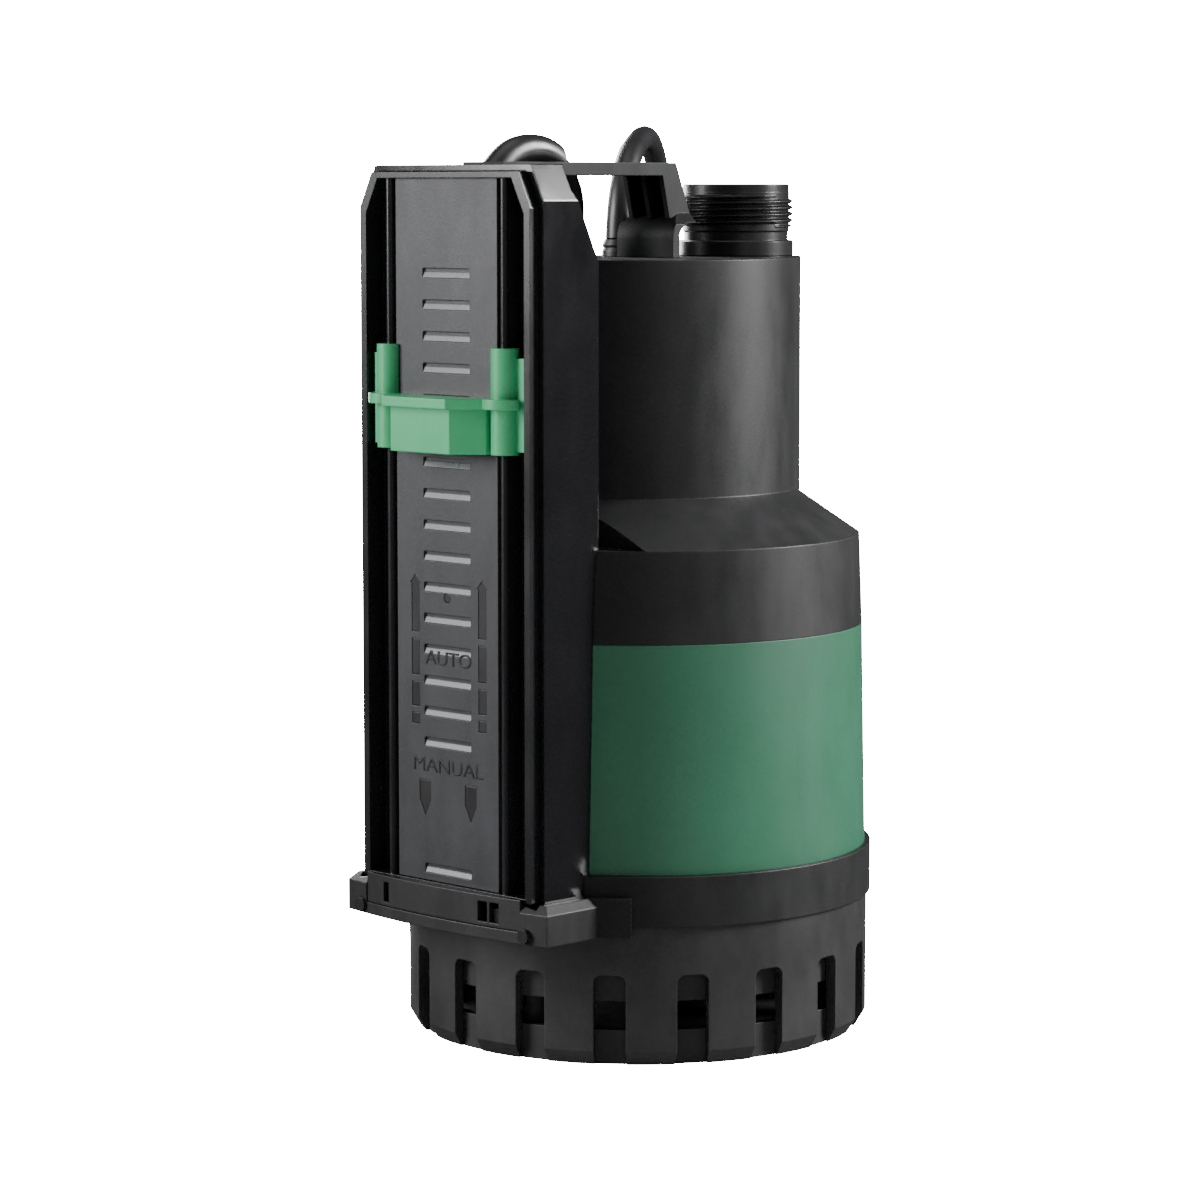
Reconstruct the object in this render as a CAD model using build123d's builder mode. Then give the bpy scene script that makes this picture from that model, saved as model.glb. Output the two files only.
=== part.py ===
from build123d import *
from math import cos, pi, radians, sin, tan
import os

os.makedirs("parts", exist_ok=True)

# Submersible drainage pump with a top outlet and a clip-on level sensor.
# Millimetres. The origin is on the pump axis at the floor, +Z is up, the sensor faces -Y
# and the threaded outlet stands at +Y.

# ---------------------------------------------------------------- driving sizes
wall = 3.0
fit_gap = 0.2
run_gap = 0.3
seal_gap = 0.05

# Heights of the stacked casings
strainer_h = 48.5
band_h = 17.6
sleeve_h = 79.2
collar_h = 31.9
cone_h = 16.0
neck_h = 82.0

# Casing radii
strainer_r = 82.9
band_lip = 1.3
sleeve_inset = 0.7
sleeve_taper = 1.5
collar_taper = 1.2
neck_r = 56.3

# Strainer
strainer_wall = 4.0
slot_count = 18
slot_w = 11.2
slot_over = 2.8
slot_corner_r = 3.0
slot_phase = -2.2
foot_inset = 3.0
o_ring_r = 1.6
foot_bevel_h = 5.0
ledge_over = 2.0
ledge_t = 4.0

# Base plate and suction cover
base_t = 3.0
base_rim_h = 12.0
rim_wall = 3.5
cover_t = 4.0
skirt_h = 11.0
chamber_h = 19.5
post_r = 5.0
post_inset = 13.9
post_count = 4
post_phase = 14.0
screw_r = 1.6
screw_head_r = 3.2
screw_head_h = 2.0

# Long screws that tie the casings together
tie_r = 2.5
tie_inset = 11.9
tie_count = 4
tie_phase = 45.0
tie_head_r = 4.5
tie_head_h = 4.0
tie_boss_r = 8.0
tie_boss_h = 14.0
tie_grip = 10.0

# Hydraulics
eye_r = 15.8
wear_wall = 2.6
impeller_r = 50.0
shroud_t = 1.8
vane_h = 6.0
vane_count = 6
vane_t = 2.2
hub_r = 9.0
vane_bend = (31.0, 10.0)
vane_tip = (40.0, 28.0)
diffuser_gap = 10.0
diffuser_wall = 4.0
diffuser_t = 3.5
port_count = 8
port_inset = 9.5
port_w = 7.0
port_span = 26.0

# Shaft and seals
shaft_r = 5.0
shaft_tail = 4.5
journal_step = 1.0
core_step = 3.0
seal_r = 10.5
seal_seat_h = 5.0
seal_ring_h = 4.0
seal_spring_h = 7.0
seal_spring_turns = 4
spring_wire_r = 0.6
lip_seal_w = 7.0
oil_wall = 3.0
oil_r = 30.0
oil_h = 20.0

# Motor
water_gap = 8.3
can_wall = 1.0
bracket_t = 6.0
bearing_w_over = 11.0
bearing_w = 10.0
race_t = 3.0
pocket_wall = 4.0
ball_count = 8
ball_r = 1.9
stator_rise = 32.0
stator_h = 62.0
air_gap = 0.6
rotor_r = 22.8
end_ring_step = 2.0
stator_slots = 12
winding_w = 5.6
winding_in = 3.2
winding_deep = 12.0
end_turn_h = 12.0
head_h = 46.0
head_room = 16.2
head_wall = 3.0
capacitor_r = 14.0
capacitor_h = 42.0
terminal_size = (18.0, 24.0, 12.0)

# Outlet: G 1 1/4 pipe thread
outlet_y = 51.0
lobe_r = 23.9
outlet_bore_r = 16.0
outlet_collar_r = 21.0
outlet_collar_h = 5.8
outlet_neck_r = 19.0
thread_major_r = 20.95
thread_minor_r = 19.48
thread_pitch = 2.309
thread_turns = 6
thread_lead_r = 19.4
thread_lead_h = 3.0
ridge_share = (0.08, 0.42, 0.58, 0.92)
outlet_neck_h = 3.5

# Casing flat that faces the sensor
flat_cut = 1.3

# Sensor unit
channel_w = 16.2
sensor_proud = 7.7
sensor_depth = 25.8
sensor_lift = 6.5
sensor_rise = 32.5
sensor_wall = 2.2
corner_w = 6.0
corner_h = 12.0
roof_depth = 14.6
slope_drop = (8.7, 32.7)
bezel_proud = 4.0
bezel_side_w = 3.0
bezel_top_w = 4.2
bezel_recess = 4.0
bezel_floor_t = 1.2
bezel_rise = 4.2
window_rise = 5.6

# Scale panel and rails
panel_half_w = 25.3
panel_inset = 1.2
panel_t = 2.0
notch_w = 23.6
notch_h = 3.4
notch_depth = 0.9
notch_pitch = 10.78
notch_top_drop = 36.7
notch_count = 16
low_notch_drop = 206.0
notch_corner_r = 0.7
mark_depth = 0.5
rail_gap = 3.3
rail_t = 3.1
rail_inset = 0.2
board_t = 1.6
chip_drops = (1.0, 61.0, 121.0, 181.0)

# Marks pressed into the scale panel
dot_drop = 111.0
dot_r = 1.8
mark_x = (-16.1, 17.5)
mark_tip_drop = 103.7
arrow_half_w = 2.9
arrow_h = 3.2
bar_half_w = 2.0
bar_drops = ((123.8, 107.0), (138.8, 126.1), (149.7, 141.0), (155.9, 151.8))
pointer_x = (-11.6, 11.5)
pointer_drop = 175.0
pointer_h = 7.0
pointer_tip_drop = 187.7

# Slider
slider_drop = 60.4
slider_h = 18.4
slider_post_h = 35.8
slider_post_r = 4.95
slider_reach = 11.2
slider_nose_half_w = 14.7
slider_shoulder_in = 1.8
slider_shoulder_reach = 2.4
slider_wing_w = 9.0
slider_wing_in = 2.2
slider_wing_t = 2.0
slider_wall = 2.2
ledge_reach = 3.0
ledge_rise = 15.4
ledge_h = 3.4

# Bracket under the sensor
bracket_under = 3.0
bracket_lap = 4.0
bracket_side_w = 5.7
bracket_side_reach = 0.4
bracket_nose_reach = 5.0
bracket_back_in = 23.6
pad_lip = 4.1
pad_angle = 43.0
bracket_bevel = 2.8
tray_inset_w = 5.8
tray_rise = 4.1
tray_over = 1.4
tray_t = 1.6
tray_inset = 0.5
tray_window_h = 7.0
tray_windows = ((-29.0, -26.0), (20.0, 24.3), (25.3, 29.5))

# Handle
grip_half_w = 10.0
grip_top_rise = 33.6
grip_t = 4.6
grip_skin = 1.8
grip_wall = 2.0
grip_flange_gap = 14.3
grip_back_y = 9.0
post_front_y = 2.2
foot_half_w = 14.0
foot_wall = 3.4
foot_y = 3.3
foot_rise = 15.8
foot_round = 9.0
shelf_y = 16.0

# Glands, lead and mains cord
gland_r = 6.6
gland_h = 6.3
lead_gland_h = 7.8
gland_lip = 1.0
mains_x = -20.0
mains_y = 11.0
lead_x = -17.0
lead_y = -15.0
lead_r = 3.3
lead_sleeve_r = 5.2
lead_sleeve_bore_r = 3.7
lead_sleeve_reach = 9.0
lead_rise = (25.4, 38.3, 38.3, 14.8)
lead_bend_reach = 12.9
lead_span = (18.8, -6.7)
boot_r = 5.2
boot_bend_r = 34.0
boot_turn = 70.0
cord_r = 4.3
arch_dir = (-0.551, 0.834)

# Coil and plug
coil_mid_r = 43.0
coil_columns = 3
coil_rows = 6
coil_turns = 16
coil_at = (-106.4, 106.4)
tie_t = 1.0
tie_w = 9.0
tie_gap = 0.4
tie_outward = (-0.7071, -0.7071, 0.0)
tie_along = (-0.7071, 0.7071, 0.0)
plug_axis = (-0.996, 0.087, 0.0)
plug_r = 18.5
plug_body_l = 30.0
plug_boot_l = 16.0
plug_boot_r = 7.0
plug_pin_r = 2.4
plug_pin_l = 19.0
plug_pin_gap = 19.0

# ---------------------------------------------------------------- derived radii
strainer_in_r = strainer_r - strainer_wall
band_r = strainer_r + band_lip
pad_r = strainer_r + pad_lip
sleeve_foot_r = strainer_r - sleeve_inset
sleeve_head_r = sleeve_foot_r - sleeve_taper
sleeve_in_r = sleeve_head_r - wall
collar_top_r = sleeve_head_r - collar_taper
post_ring_r = strainer_r - post_inset
tie_ring_r = strainer_r - tie_inset
diffuser_r = impeller_r + diffuser_gap
port_ring_r = diffuser_r - port_inset
ledge_r = diffuser_r + ledge_over
can_r = neck_r - wall - water_gap
bearing_r = shaft_r + bearing_w_over
winding_in_r = rotor_r + winding_in
winding_out_r = winding_in_r + winding_deep

# ---------------------------------------------------------------- derived heights
strainer_top = strainer_h
band_top = strainer_top + band_h
sleeve_top = band_top + sleeve_h
collar_top = sleeve_top + collar_h
neck_foot = collar_top + cone_h
casing_top = neck_foot + neck_h
sensor_top = casing_top + sensor_rise
cover_z = strainer_top - chamber_h
cover_top = cover_z + cover_t
slot_top = cover_z + slot_over
shaft_low = cover_z - shaft_tail
flange_z = strainer_top
flange_top = flange_z + diffuser_t
can_z = flange_top + oil_h
head_top = casing_top - wall - head_room
can_top = head_top - head_h
lower_bearing_z = can_z + bracket_t
upper_bracket_z = can_top - bracket_t
upper_bearing_z = upper_bracket_z - bearing_w
stator_z = can_z + stator_rise
vane_low = cover_top + run_gap + shroud_t
vane_high = vane_low + vane_h
impeller_top = vane_high + shroud_t
thread_foot = casing_top + outlet_collar_h + outlet_neck_h
thread_top = thread_foot + thread_turns * thread_pitch
outlet_top = thread_top + thread_lead_h
bracket_bottom = strainer_top - bracket_under
sensor_bottom = strainer_top + sensor_lift
bracket_top = sensor_bottom + bracket_lap
tray_low = bracket_bottom + tray_rise
tray_top = bracket_top + tray_over
bezel_bottom = sensor_bottom + bezel_rise
window_bottom = sensor_bottom + window_rise
notch_top_z = sensor_top - notch_top_drop
slider_z = notch_top_z - slider_drop
ledge_z = slider_z + ledge_rise

# ---------------------------------------------------------------- derived depths and widths
flat_y = flat_cut - neck_r
sensor_front_y = -strainer_r - sensor_proud
sensor_back_y = sensor_front_y + sensor_depth
slope_top_y = sensor_front_y + roof_depth
bezel_front_y = sensor_front_y - bezel_proud
bezel_floor_y = sensor_front_y + bezel_recess
panel_front_y = bezel_front_y + panel_inset
rail_nose_y = bezel_front_y + rail_inset
slider_nose_y = bezel_front_y - slider_reach
slider_shoulder_y = bezel_front_y - slider_shoulder_reach
slider_wing_y = bezel_front_y + slider_wing_in
bracket_side_y = bezel_front_y - bracket_side_reach
bracket_nose_y = bezel_front_y - bracket_nose_reach
bracket_back_y = sensor_front_y + bracket_back_in
grip_flange_y = sensor_back_y + grip_flange_gap
rail_x = panel_half_w + rail_gap
sensor_half_w = rail_x + channel_w
slider_shoulder_half_w = panel_half_w - slider_shoulder_in
slider_wing_x = rail_x + slider_wing_w
bracket_half_w = sensor_half_w + bracket_side_w
tray_half_w = sensor_half_w - tray_inset_w
bracket_arc_h = bracket_side_y - bracket_nose_y
bracket_arc_r = (bracket_half_w**2 + bracket_arc_h**2) / (2 * bracket_arc_h)
journal_r = shaft_r + journal_step
core_bore_r = shaft_r + core_step
base = (Align.CENTER, Align.CENTER, Align.MIN)
behind_top = (Align.CENTER, Align.MAX, Align.MIN)
up = (Align.CENTER, Align.MIN)
outward = (Align.CENTER, Align.MAX)
foot_screws = [(side * foot_half_w / 2, foot_y + foot_wall / 2, casing_top) for side in (-1, 1)]
rail_spots = [(side * rail_x, rail_nose_y + rail_t / 2) for side in (-1, 1)]


def turned(points):
    """Return the solid made by turning an (r, z) outline about the pump axis."""
    with BuildPart() as piece:
        with BuildSketch(Plane.XZ):
            with BuildLine():
                Polyline(*points, close=True)
            make_face()
        revolve(axis=Axis.Z)
    return piece.part


def tube(outer_r, inner_r, low, high):
    """Return a straight ring about the pump axis between two heights."""
    return turned([(inner_r, low), (outer_r, low), (outer_r, high), (inner_r, high)])


def swept(points, radii, radius, bore=0.0):
    """Return a round rod or tube along straight runs joined by arcs."""
    with BuildPart() as piece:
        with BuildLine() as route:
            FilletPolyline(*points, radius=radii)
        start = route.wire() @ 0
        with BuildSketch(Plane(origin=start, z_dir=route.wire() % 0)):
            Circle(radius)
            if bore:
                Circle(bore, mode=Mode.SUBTRACT)
        sweep(path=route.wire())
    return piece.part


def bend_radii(points):
    """Return the arc radius at each corner of a cord's route."""
    spots = [Vector(*p) for p in points]
    radii = []
    for before, here, after in zip(spots, spots[1:], spots[2:]):
        run = min((here - before).length, (after - here).length)
        turn = (here - before).get_angle(after - here)
        radii.append(0.45 * run / tan(radians(turn) / 2))
    return radii


# ---------------------------------------------------------------- base and strainer
with BuildPart() as slot_cutter:
    with BuildSketch(Plane.YZ.offset(strainer_r - 2 * strainer_wall)):
        RectangleRounded(slot_w, 2 * slot_top, slot_corner_r)
    extrude(amount=3 * strainer_wall)

with BuildPart() as strainer:
    add(turned([
        (strainer_in_r, 0), (strainer_r - foot_inset, 0), (strainer_r, foot_bevel_h),
        (strainer_r, strainer_top), (ledge_r, strainer_top),
        (ledge_r, strainer_top - ledge_t), (strainer_in_r, strainer_top - ledge_t),
    ]))
    with PolarLocations(0, slot_count, start_angle=slot_phase - 90):
        add(slot_cutter.part, mode=Mode.SUBTRACT)
    with PolarLocations(tie_ring_r, tie_count, start_angle=tie_phase):
        Cylinder(tie_r + fit_gap, 4 * strainer_top, mode=Mode.SUBTRACT)
strainer.part.label = "strainer"
export_step(strainer.part, "parts/strainer.step")

with BuildPart() as base_plate:
    add(turned([
        (0, 0), (strainer_in_r, 0), (strainer_in_r, base_rim_h),
        (strainer_in_r - rim_wall, base_rim_h), (strainer_in_r - rim_wall, base_t), (0, base_t),
    ]))
    with PolarLocations(post_ring_r, post_count, start_angle=post_phase - 90):
        Cylinder(screw_r + fit_gap, 4 * base_t, mode=Mode.SUBTRACT)
        Cylinder(screw_head_r + fit_gap, 2 * screw_head_h, mode=Mode.SUBTRACT)
base_plate.part.label = "base_plate"
export_step(base_plate.part, "parts/base_plate.step")

with BuildPart() as suction_cover:
    add(turned([
        (eye_r + run_gap + wear_wall, cover_z), (strainer_in_r - rim_wall, cover_z),
        (strainer_in_r - rim_wall, cover_top - skirt_h), (strainer_in_r - fit_gap, cover_top - skirt_h),
        (strainer_in_r - fit_gap, cover_top), (eye_r + run_gap + wear_wall, cover_top),
    ]))
    with Locations((0, 0, base_t)):
        with PolarLocations(post_ring_r, post_count, start_angle=post_phase - 90):
            Cylinder(post_r, cover_z - base_t, align=base)
            Cylinder(screw_r, cover_z - 3 * base_t, align=base, mode=Mode.SUBTRACT)
suction_cover.part.label = "suction_cover"
export_step(suction_cover.part, "parts/suction_cover.step")

with BuildPart() as base_screws:
    with PolarLocations(post_ring_r, post_count, start_angle=post_phase - 90):
        with Locations((0, 0, screw_head_h / 4)):
            Cylinder(screw_head_r, 3 * screw_head_h / 4, align=base)
            Cylinder(screw_r, cover_z - 3 * base_t, align=base)
base_screws.part.label = "base_screws"
export_step(base_screws.part, "parts/base_screws.step")

with BuildPart() as wear_ring:
    add(tube(eye_r + run_gap + wear_wall, eye_r + run_gap, cover_z - cover_t, cover_top))
wear_ring.part.label = "wear_ring"
export_step(wear_ring.part, "parts/wear_ring.step")

# ---------------------------------------------------------------- hydraulics
with BuildPart() as vane:
    with BuildSketch(Plane.XY.offset(vane_low)):
        with BuildLine():
            ThreePointArc((eye_r, 0), vane_bend, vane_tip)
            offset(amount=vane_t / 2)
        make_face()
    extrude(amount=vane_h)

with BuildPart() as impeller:
    add(turned([
        (shaft_r, vane_low), (hub_r, vane_low), (hub_r + shroud_t, vane_high), (impeller_r, vane_high),
        (impeller_r, impeller_top), (hub_r, impeller_top),
        (hub_r, flange_z - run_gap), (shaft_r, flange_z - run_gap),
    ]))
    add(turned([
        (eye_r - shroud_t, cover_z - cover_t), (eye_r, cover_z - cover_t), (eye_r, cover_top + run_gap),
        (impeller_r, cover_top + run_gap), (impeller_r, vane_low), (eye_r - shroud_t, vane_low),
    ]))
    with PolarLocations(0, vane_count):
        add(vane.part)
impeller.part.label = "impeller"
export_step(impeller.part, "parts/impeller.step")

with BuildPart() as impeller_nut:
    with BuildSketch(Plane.XY.offset(vane_low - cover_t - run_gap)):
        RegularPolygon(hub_r - shroud_t, 6)
        Circle(shaft_r, mode=Mode.SUBTRACT)
    extrude(amount=cover_t + run_gap)
impeller_nut.part.label = "impeller_nut"
export_step(impeller_nut.part, "parts/impeller_nut.step")

with BuildPart() as port:
    with BuildSketch(Plane.XY.offset(flange_z)):
        with BuildLine():
            CenterArc((0, 0), port_ring_r, -port_span / 2, port_span)
            offset(amount=port_w / 2)
        make_face()
    extrude(amount=diffuser_t)

with BuildPart() as diffuser:
    add(tube(diffuser_r, diffuser_r - diffuser_wall, cover_top, flange_z))
    add(turned([
        (seal_r - fit_gap, flange_z), (strainer_in_r - fit_gap, flange_z),
        (strainer_in_r - fit_gap, flange_z + diffuser_t / 4),
        (strainer_in_r - fit_gap - diffuser_t / 2, flange_z + diffuser_t / 4),
        (strainer_in_r - fit_gap - diffuser_t / 2, flange_top - diffuser_t / 4),
        (strainer_in_r - fit_gap, flange_top - diffuser_t / 4),
        (strainer_in_r - fit_gap, flange_top), (seal_r - fit_gap, flange_top),
    ]))
    with PolarLocations(0, port_count):
        add(port.part, mode=Mode.SUBTRACT)
    with PolarLocations(tie_ring_r, tie_count, start_angle=tie_phase):
        Cylinder(tie_r + fit_gap, 4 * flange_top, mode=Mode.SUBTRACT)
diffuser.part.label = "diffuser"
export_step(diffuser.part, "parts/diffuser.step")

with BuildPart() as flange_o_ring:
    with BuildSketch(Plane.XZ):
        with Locations((strainer_in_r - fit_gap - diffuser_t / 4, flange_z + diffuser_t / 2)):
            Circle(diffuser_t / 4)
    revolve(axis=Axis.Z)
flange_o_ring.part.label = "flange_o_ring"
export_step(flange_o_ring.part, "parts/flange_o_ring.step")

# ---------------------------------------------------------------- bracket band and casings
with BuildPart() as bracket_block:
    with BuildSketch(Plane.XY.offset(bracket_bottom)):
        with BuildLine():
            ThreePointArc(
                (-bracket_half_w, bracket_side_y), (0, bracket_nose_y), (bracket_half_w, bracket_side_y)
            )
            Line((bracket_half_w, bracket_side_y), (bracket_half_w, bracket_back_y))
            Line((bracket_half_w, bracket_back_y), (-bracket_half_w, bracket_back_y))
            Line((-bracket_half_w, bracket_back_y), (-bracket_half_w, bracket_side_y))
        make_face()
    extrude(amount=bracket_top - bracket_bottom)
    top_edges = bracket_block.faces().sort_by(Axis.Z)[-1].edges().sort_by(Axis.Y)
    chamfer(top_edges[:-1], bracket_bevel)

with BuildPart() as tray_pocket:
    with BuildSketch(Plane.XY.offset(tray_low)):
        with Locations((0, bezel_front_y + tray_t)):
            Rectangle(2 * tray_half_w, 4 * wall, align=outward)
    extrude(amount=band_top)

with BuildPart() as band_bracket:
    add(tube(band_r, strainer_in_r, strainer_top, band_top))
    add(bracket_block.part)
    with BuildSketch(Plane.XY.offset(bracket_bottom)):
        with BuildLine():
            CenterArc((0, 0), pad_r, -90 - pad_angle, 2 * pad_angle)
            Line((pad_r * sin(radians(pad_angle)), -pad_r * cos(radians(pad_angle))), (0, 0))
            Line((0, 0), (-pad_r * sin(radians(pad_angle)), -pad_r * cos(radians(pad_angle))))
        make_face()
    extrude(amount=bracket_top - bracket_bottom)
    with Locations((0, 0, bracket_bottom)):
        Cylinder(strainer_r + fit_gap, strainer_top - bracket_bottom, align=base, mode=Mode.SUBTRACT)
    Cylinder(strainer_in_r, 4 * band_top, mode=Mode.SUBTRACT)
    with BuildSketch(Plane.XY.offset(sensor_bottom)):
        with Locations((0, bezel_front_y)):
            Rectangle(2 * (sensor_half_w + fit_gap), -bezel_front_y, align=up)
        Circle(band_r, mode=Mode.SUBTRACT)
    extrude(amount=band_top, mode=Mode.SUBTRACT)
    add(tray_pocket.part, mode=Mode.SUBTRACT)
    for side in (-1, 1):
        with Locations((side * (bracket_half_w - 3 * wall), bracket_side_y, bracket_bottom + wall)):
            Cylinder(tie_r, 6 * wall, rotation=(90, 0, 0), mode=Mode.SUBTRACT)
band_bracket.part.label = "band_bracket"
export_step(band_bracket.part, "parts/band_bracket.step")

with BuildPart() as bracket_screws:
    for side in (-1, 1):
        with Locations((side * (bracket_half_w - 3 * wall), bracket_side_y, bracket_bottom + wall)):
            Cylinder(tie_r, 2 * wall, rotation=(90, 0, 0))
bracket_screws.part.label = "bracket_screws"
export_step(bracket_screws.part, "parts/bracket_screws.step")

with BuildPart() as tray_cover:
    with BuildSketch(Plane.XY.offset(tray_low + fit_gap)):
        with Locations((0, bracket_nose_y + bracket_arc_r)):
            Circle(bracket_arc_r - tray_inset)
        with Locations((0, bezel_front_y - fit_gap)):
            Rectangle(
                2 * (tray_half_w - fit_gap), 4 * wall, align=outward, mode=Mode.INTERSECT
            )
    extrude(amount=tray_top - tray_low - fit_gap)
    with BuildSketch(Plane.XY.offset(tray_low)):
        with Locations((0, bracket_nose_y + bracket_arc_r)):
            Circle(bracket_arc_r - tray_inset - tray_t)
    extrude(amount=tray_top - tray_low - tray_t, mode=Mode.SUBTRACT)
    with BuildSketch(Plane.XZ.offset(wall - bracket_nose_y)):
        for low_x, high_x in tray_windows:
            with Locations(((low_x + high_x) / 2, tray_low + tray_t)):
                Rectangle(high_x - low_x, tray_window_h, align=up)
    extrude(amount=-3 * wall, mode=Mode.SUBTRACT)
tray_cover.part.label = "tray_cover"
export_step(tray_cover.part, "parts/tray_cover.step")

with BuildPart() as casing_sleeve:
    add(turned([
        (sleeve_in_r, band_top), (sleeve_foot_r, band_top),
        (sleeve_head_r, sleeve_top), (sleeve_in_r, sleeve_top),
    ]))
casing_sleeve.part.label = "casing_sleeve"
export_step(casing_sleeve.part, "parts/casing_sleeve.step")

with BuildPart() as casing_cavity:
    add(turned([
        (0, sleeve_top), (sleeve_head_r - wall, sleeve_top), (collar_top_r - wall, collar_top - wall),
        (neck_r - wall, neck_foot - wall), (neck_r - wall, casing_top - wall), (0, casing_top - wall),
    ]))
    with BuildSketch(Plane.XY.offset(collar_top - wall)):
        Circle(neck_r - wall)
        with Locations((0, outlet_y)):
            Circle(lobe_r - wall)
        make_hull()
    extrude(amount=casing_top - collar_top)
    with Locations((0, flat_y + wall, collar_top - 2 * wall)):
        Box(4 * neck_r, 2 * neck_r, casing_top, align=behind_top, mode=Mode.SUBTRACT)

with BuildPart() as upper_casing:
    add(turned([
        (0, sleeve_top), (sleeve_head_r, sleeve_top), (collar_top_r, collar_top),
        (neck_r, neck_foot), (neck_r, casing_top), (0, casing_top),
    ]))
    with BuildSketch(Plane.XY.offset(collar_top - wall)):
        Circle(neck_r)
        with Locations((0, outlet_y)):
            Circle(lobe_r)
        make_hull()
    extrude(amount=casing_top - collar_top + wall)
    with Locations((0, flat_y, collar_top)):
        Box(4 * neck_r, 2 * neck_r, casing_top, align=behind_top, mode=Mode.SUBTRACT)
    add(casing_cavity.part, mode=Mode.SUBTRACT)
    add(tube(sleeve_in_r - fit_gap, sleeve_in_r - wall, sleeve_top - 2 * wall, sleeve_top))
    add(tube(sleeve_head_r - wall / 2, sleeve_in_r - wall, sleeve_top, sleeve_top + wall / 2))
    add(
        tube(
            sleeve_in_r, sleeve_in_r - fit_gap - o_ring_r,
            sleeve_top - wall - o_ring_r, sleeve_top - wall + o_ring_r,
        ),
        mode=Mode.SUBTRACT,
    )
    with Locations((0, 0, sleeve_top)):
        with PolarLocations(tie_ring_r, tie_count, start_angle=tie_phase):
            Cylinder(tie_boss_r, tie_boss_h, align=base)
    with Locations((0, 0, sleeve_top - wall)):
        with PolarLocations(tie_ring_r, tie_count, start_angle=tie_phase):
            Cylinder(tie_r, tie_grip + wall, align=base, mode=Mode.SUBTRACT)
    with Locations((0, outlet_y, casing_top - 2 * wall)):
        Cylinder(outlet_neck_r + fit_gap, 4 * wall, align=base, mode=Mode.SUBTRACT)
    with Locations((mains_x, mains_y, casing_top), (lead_x, lead_y, casing_top)):
        Cylinder(boot_r + fit_gap, 4 * wall, mode=Mode.SUBTRACT)
    with Locations(*foot_screws):
        Cylinder(screw_r + fit_gap, 4 * wall, mode=Mode.SUBTRACT)
upper_casing.part.label = "upper_casing"
export_step(upper_casing.part, "parts/upper_casing.step")

with BuildPart() as casing_o_ring:
    with BuildSketch(Plane.XZ):
        with Locations((sleeve_in_r - fit_gap / 2 - o_ring_r / 2, sleeve_top - wall)):
            Circle(o_ring_r / 2)
    revolve(axis=Axis.Z)
casing_o_ring.part.label = "casing_o_ring"
export_step(casing_o_ring.part, "parts/casing_o_ring.step")

with BuildPart() as tie_screws:
    with Locations((0, 0, strainer_top - ledge_t - tie_head_h)):
        with PolarLocations(tie_ring_r, tie_count, start_angle=tie_phase):
            Cylinder(tie_head_r, tie_head_h, align=base)
            Cylinder(tie_r, sleeve_top + tie_grip - strainer_top + ledge_t + tie_head_h, align=base)
tie_screws.part.label = "tie_screws"
export_step(tie_screws.part, "parts/tie_screws.step")

# ---------------------------------------------------------------- outlet and handle
outline = [
    (outlet_bore_r, casing_top - wall), (outlet_neck_r, casing_top - wall), (outlet_neck_r, casing_top),
    (outlet_collar_r, casing_top), (outlet_collar_r, casing_top + outlet_collar_h),
    (outlet_neck_r, casing_top + outlet_collar_h), (outlet_neck_r, thread_foot),
    (thread_minor_r, thread_foot),
]
for turn in range(thread_turns):
    ridge = thread_foot + turn * thread_pitch
    outline.append((thread_minor_r, ridge + ridge_share[0] * thread_pitch))
    outline.append((thread_major_r, ridge + ridge_share[1] * thread_pitch))
    outline.append((thread_major_r, ridge + ridge_share[2] * thread_pitch))
    outline.append((thread_minor_r, ridge + ridge_share[3] * thread_pitch))
outline += [
    (thread_minor_r, thread_top), (thread_lead_r, thread_top),
    (thread_lead_r, outlet_top), (outlet_bore_r, outlet_top),
]
with BuildPart() as threaded_outlet:
    with Locations((0, outlet_y, 0)):
        add(turned(outline))
threaded_outlet.part.label = "threaded_outlet"
export_step(threaded_outlet.part, "parts/threaded_outlet.step")

grip_top = casing_top + grip_top_rise
shelf_top = casing_top + foot_rise
with BuildPart() as foot_profile:
    with BuildSketch(Plane.YZ):
        with BuildLine():
            FilletPolyline(
                (foot_y, casing_top), (foot_y, shelf_top), (shelf_y, shelf_top),
                radius=foot_round,
            )
            Line((shelf_y, shelf_top), (shelf_y, shelf_top - foot_wall))
            FilletPolyline(
                (shelf_y, shelf_top - foot_wall),
                (foot_y + foot_wall, shelf_top - foot_wall),
                (foot_y + foot_wall, casing_top),
                radius=foot_round - foot_wall,
            )
            Line((foot_y + foot_wall, casing_top), (foot_y, casing_top))
        make_face()
    extrude(amount=foot_half_w, both=True)
    with BuildSketch(Plane.XZ.offset(-shelf_y)):
        with Locations((0, casing_top)):
            Rectangle(2 * foot_half_w, foot_rise, align=up)
        crown = vertices().group_by(Axis.Y)[-1]
        chamfer(crown, foot_half_w - grip_half_w)
    extrude(amount=shelf_y, mode=Mode.INTERSECT)

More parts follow.
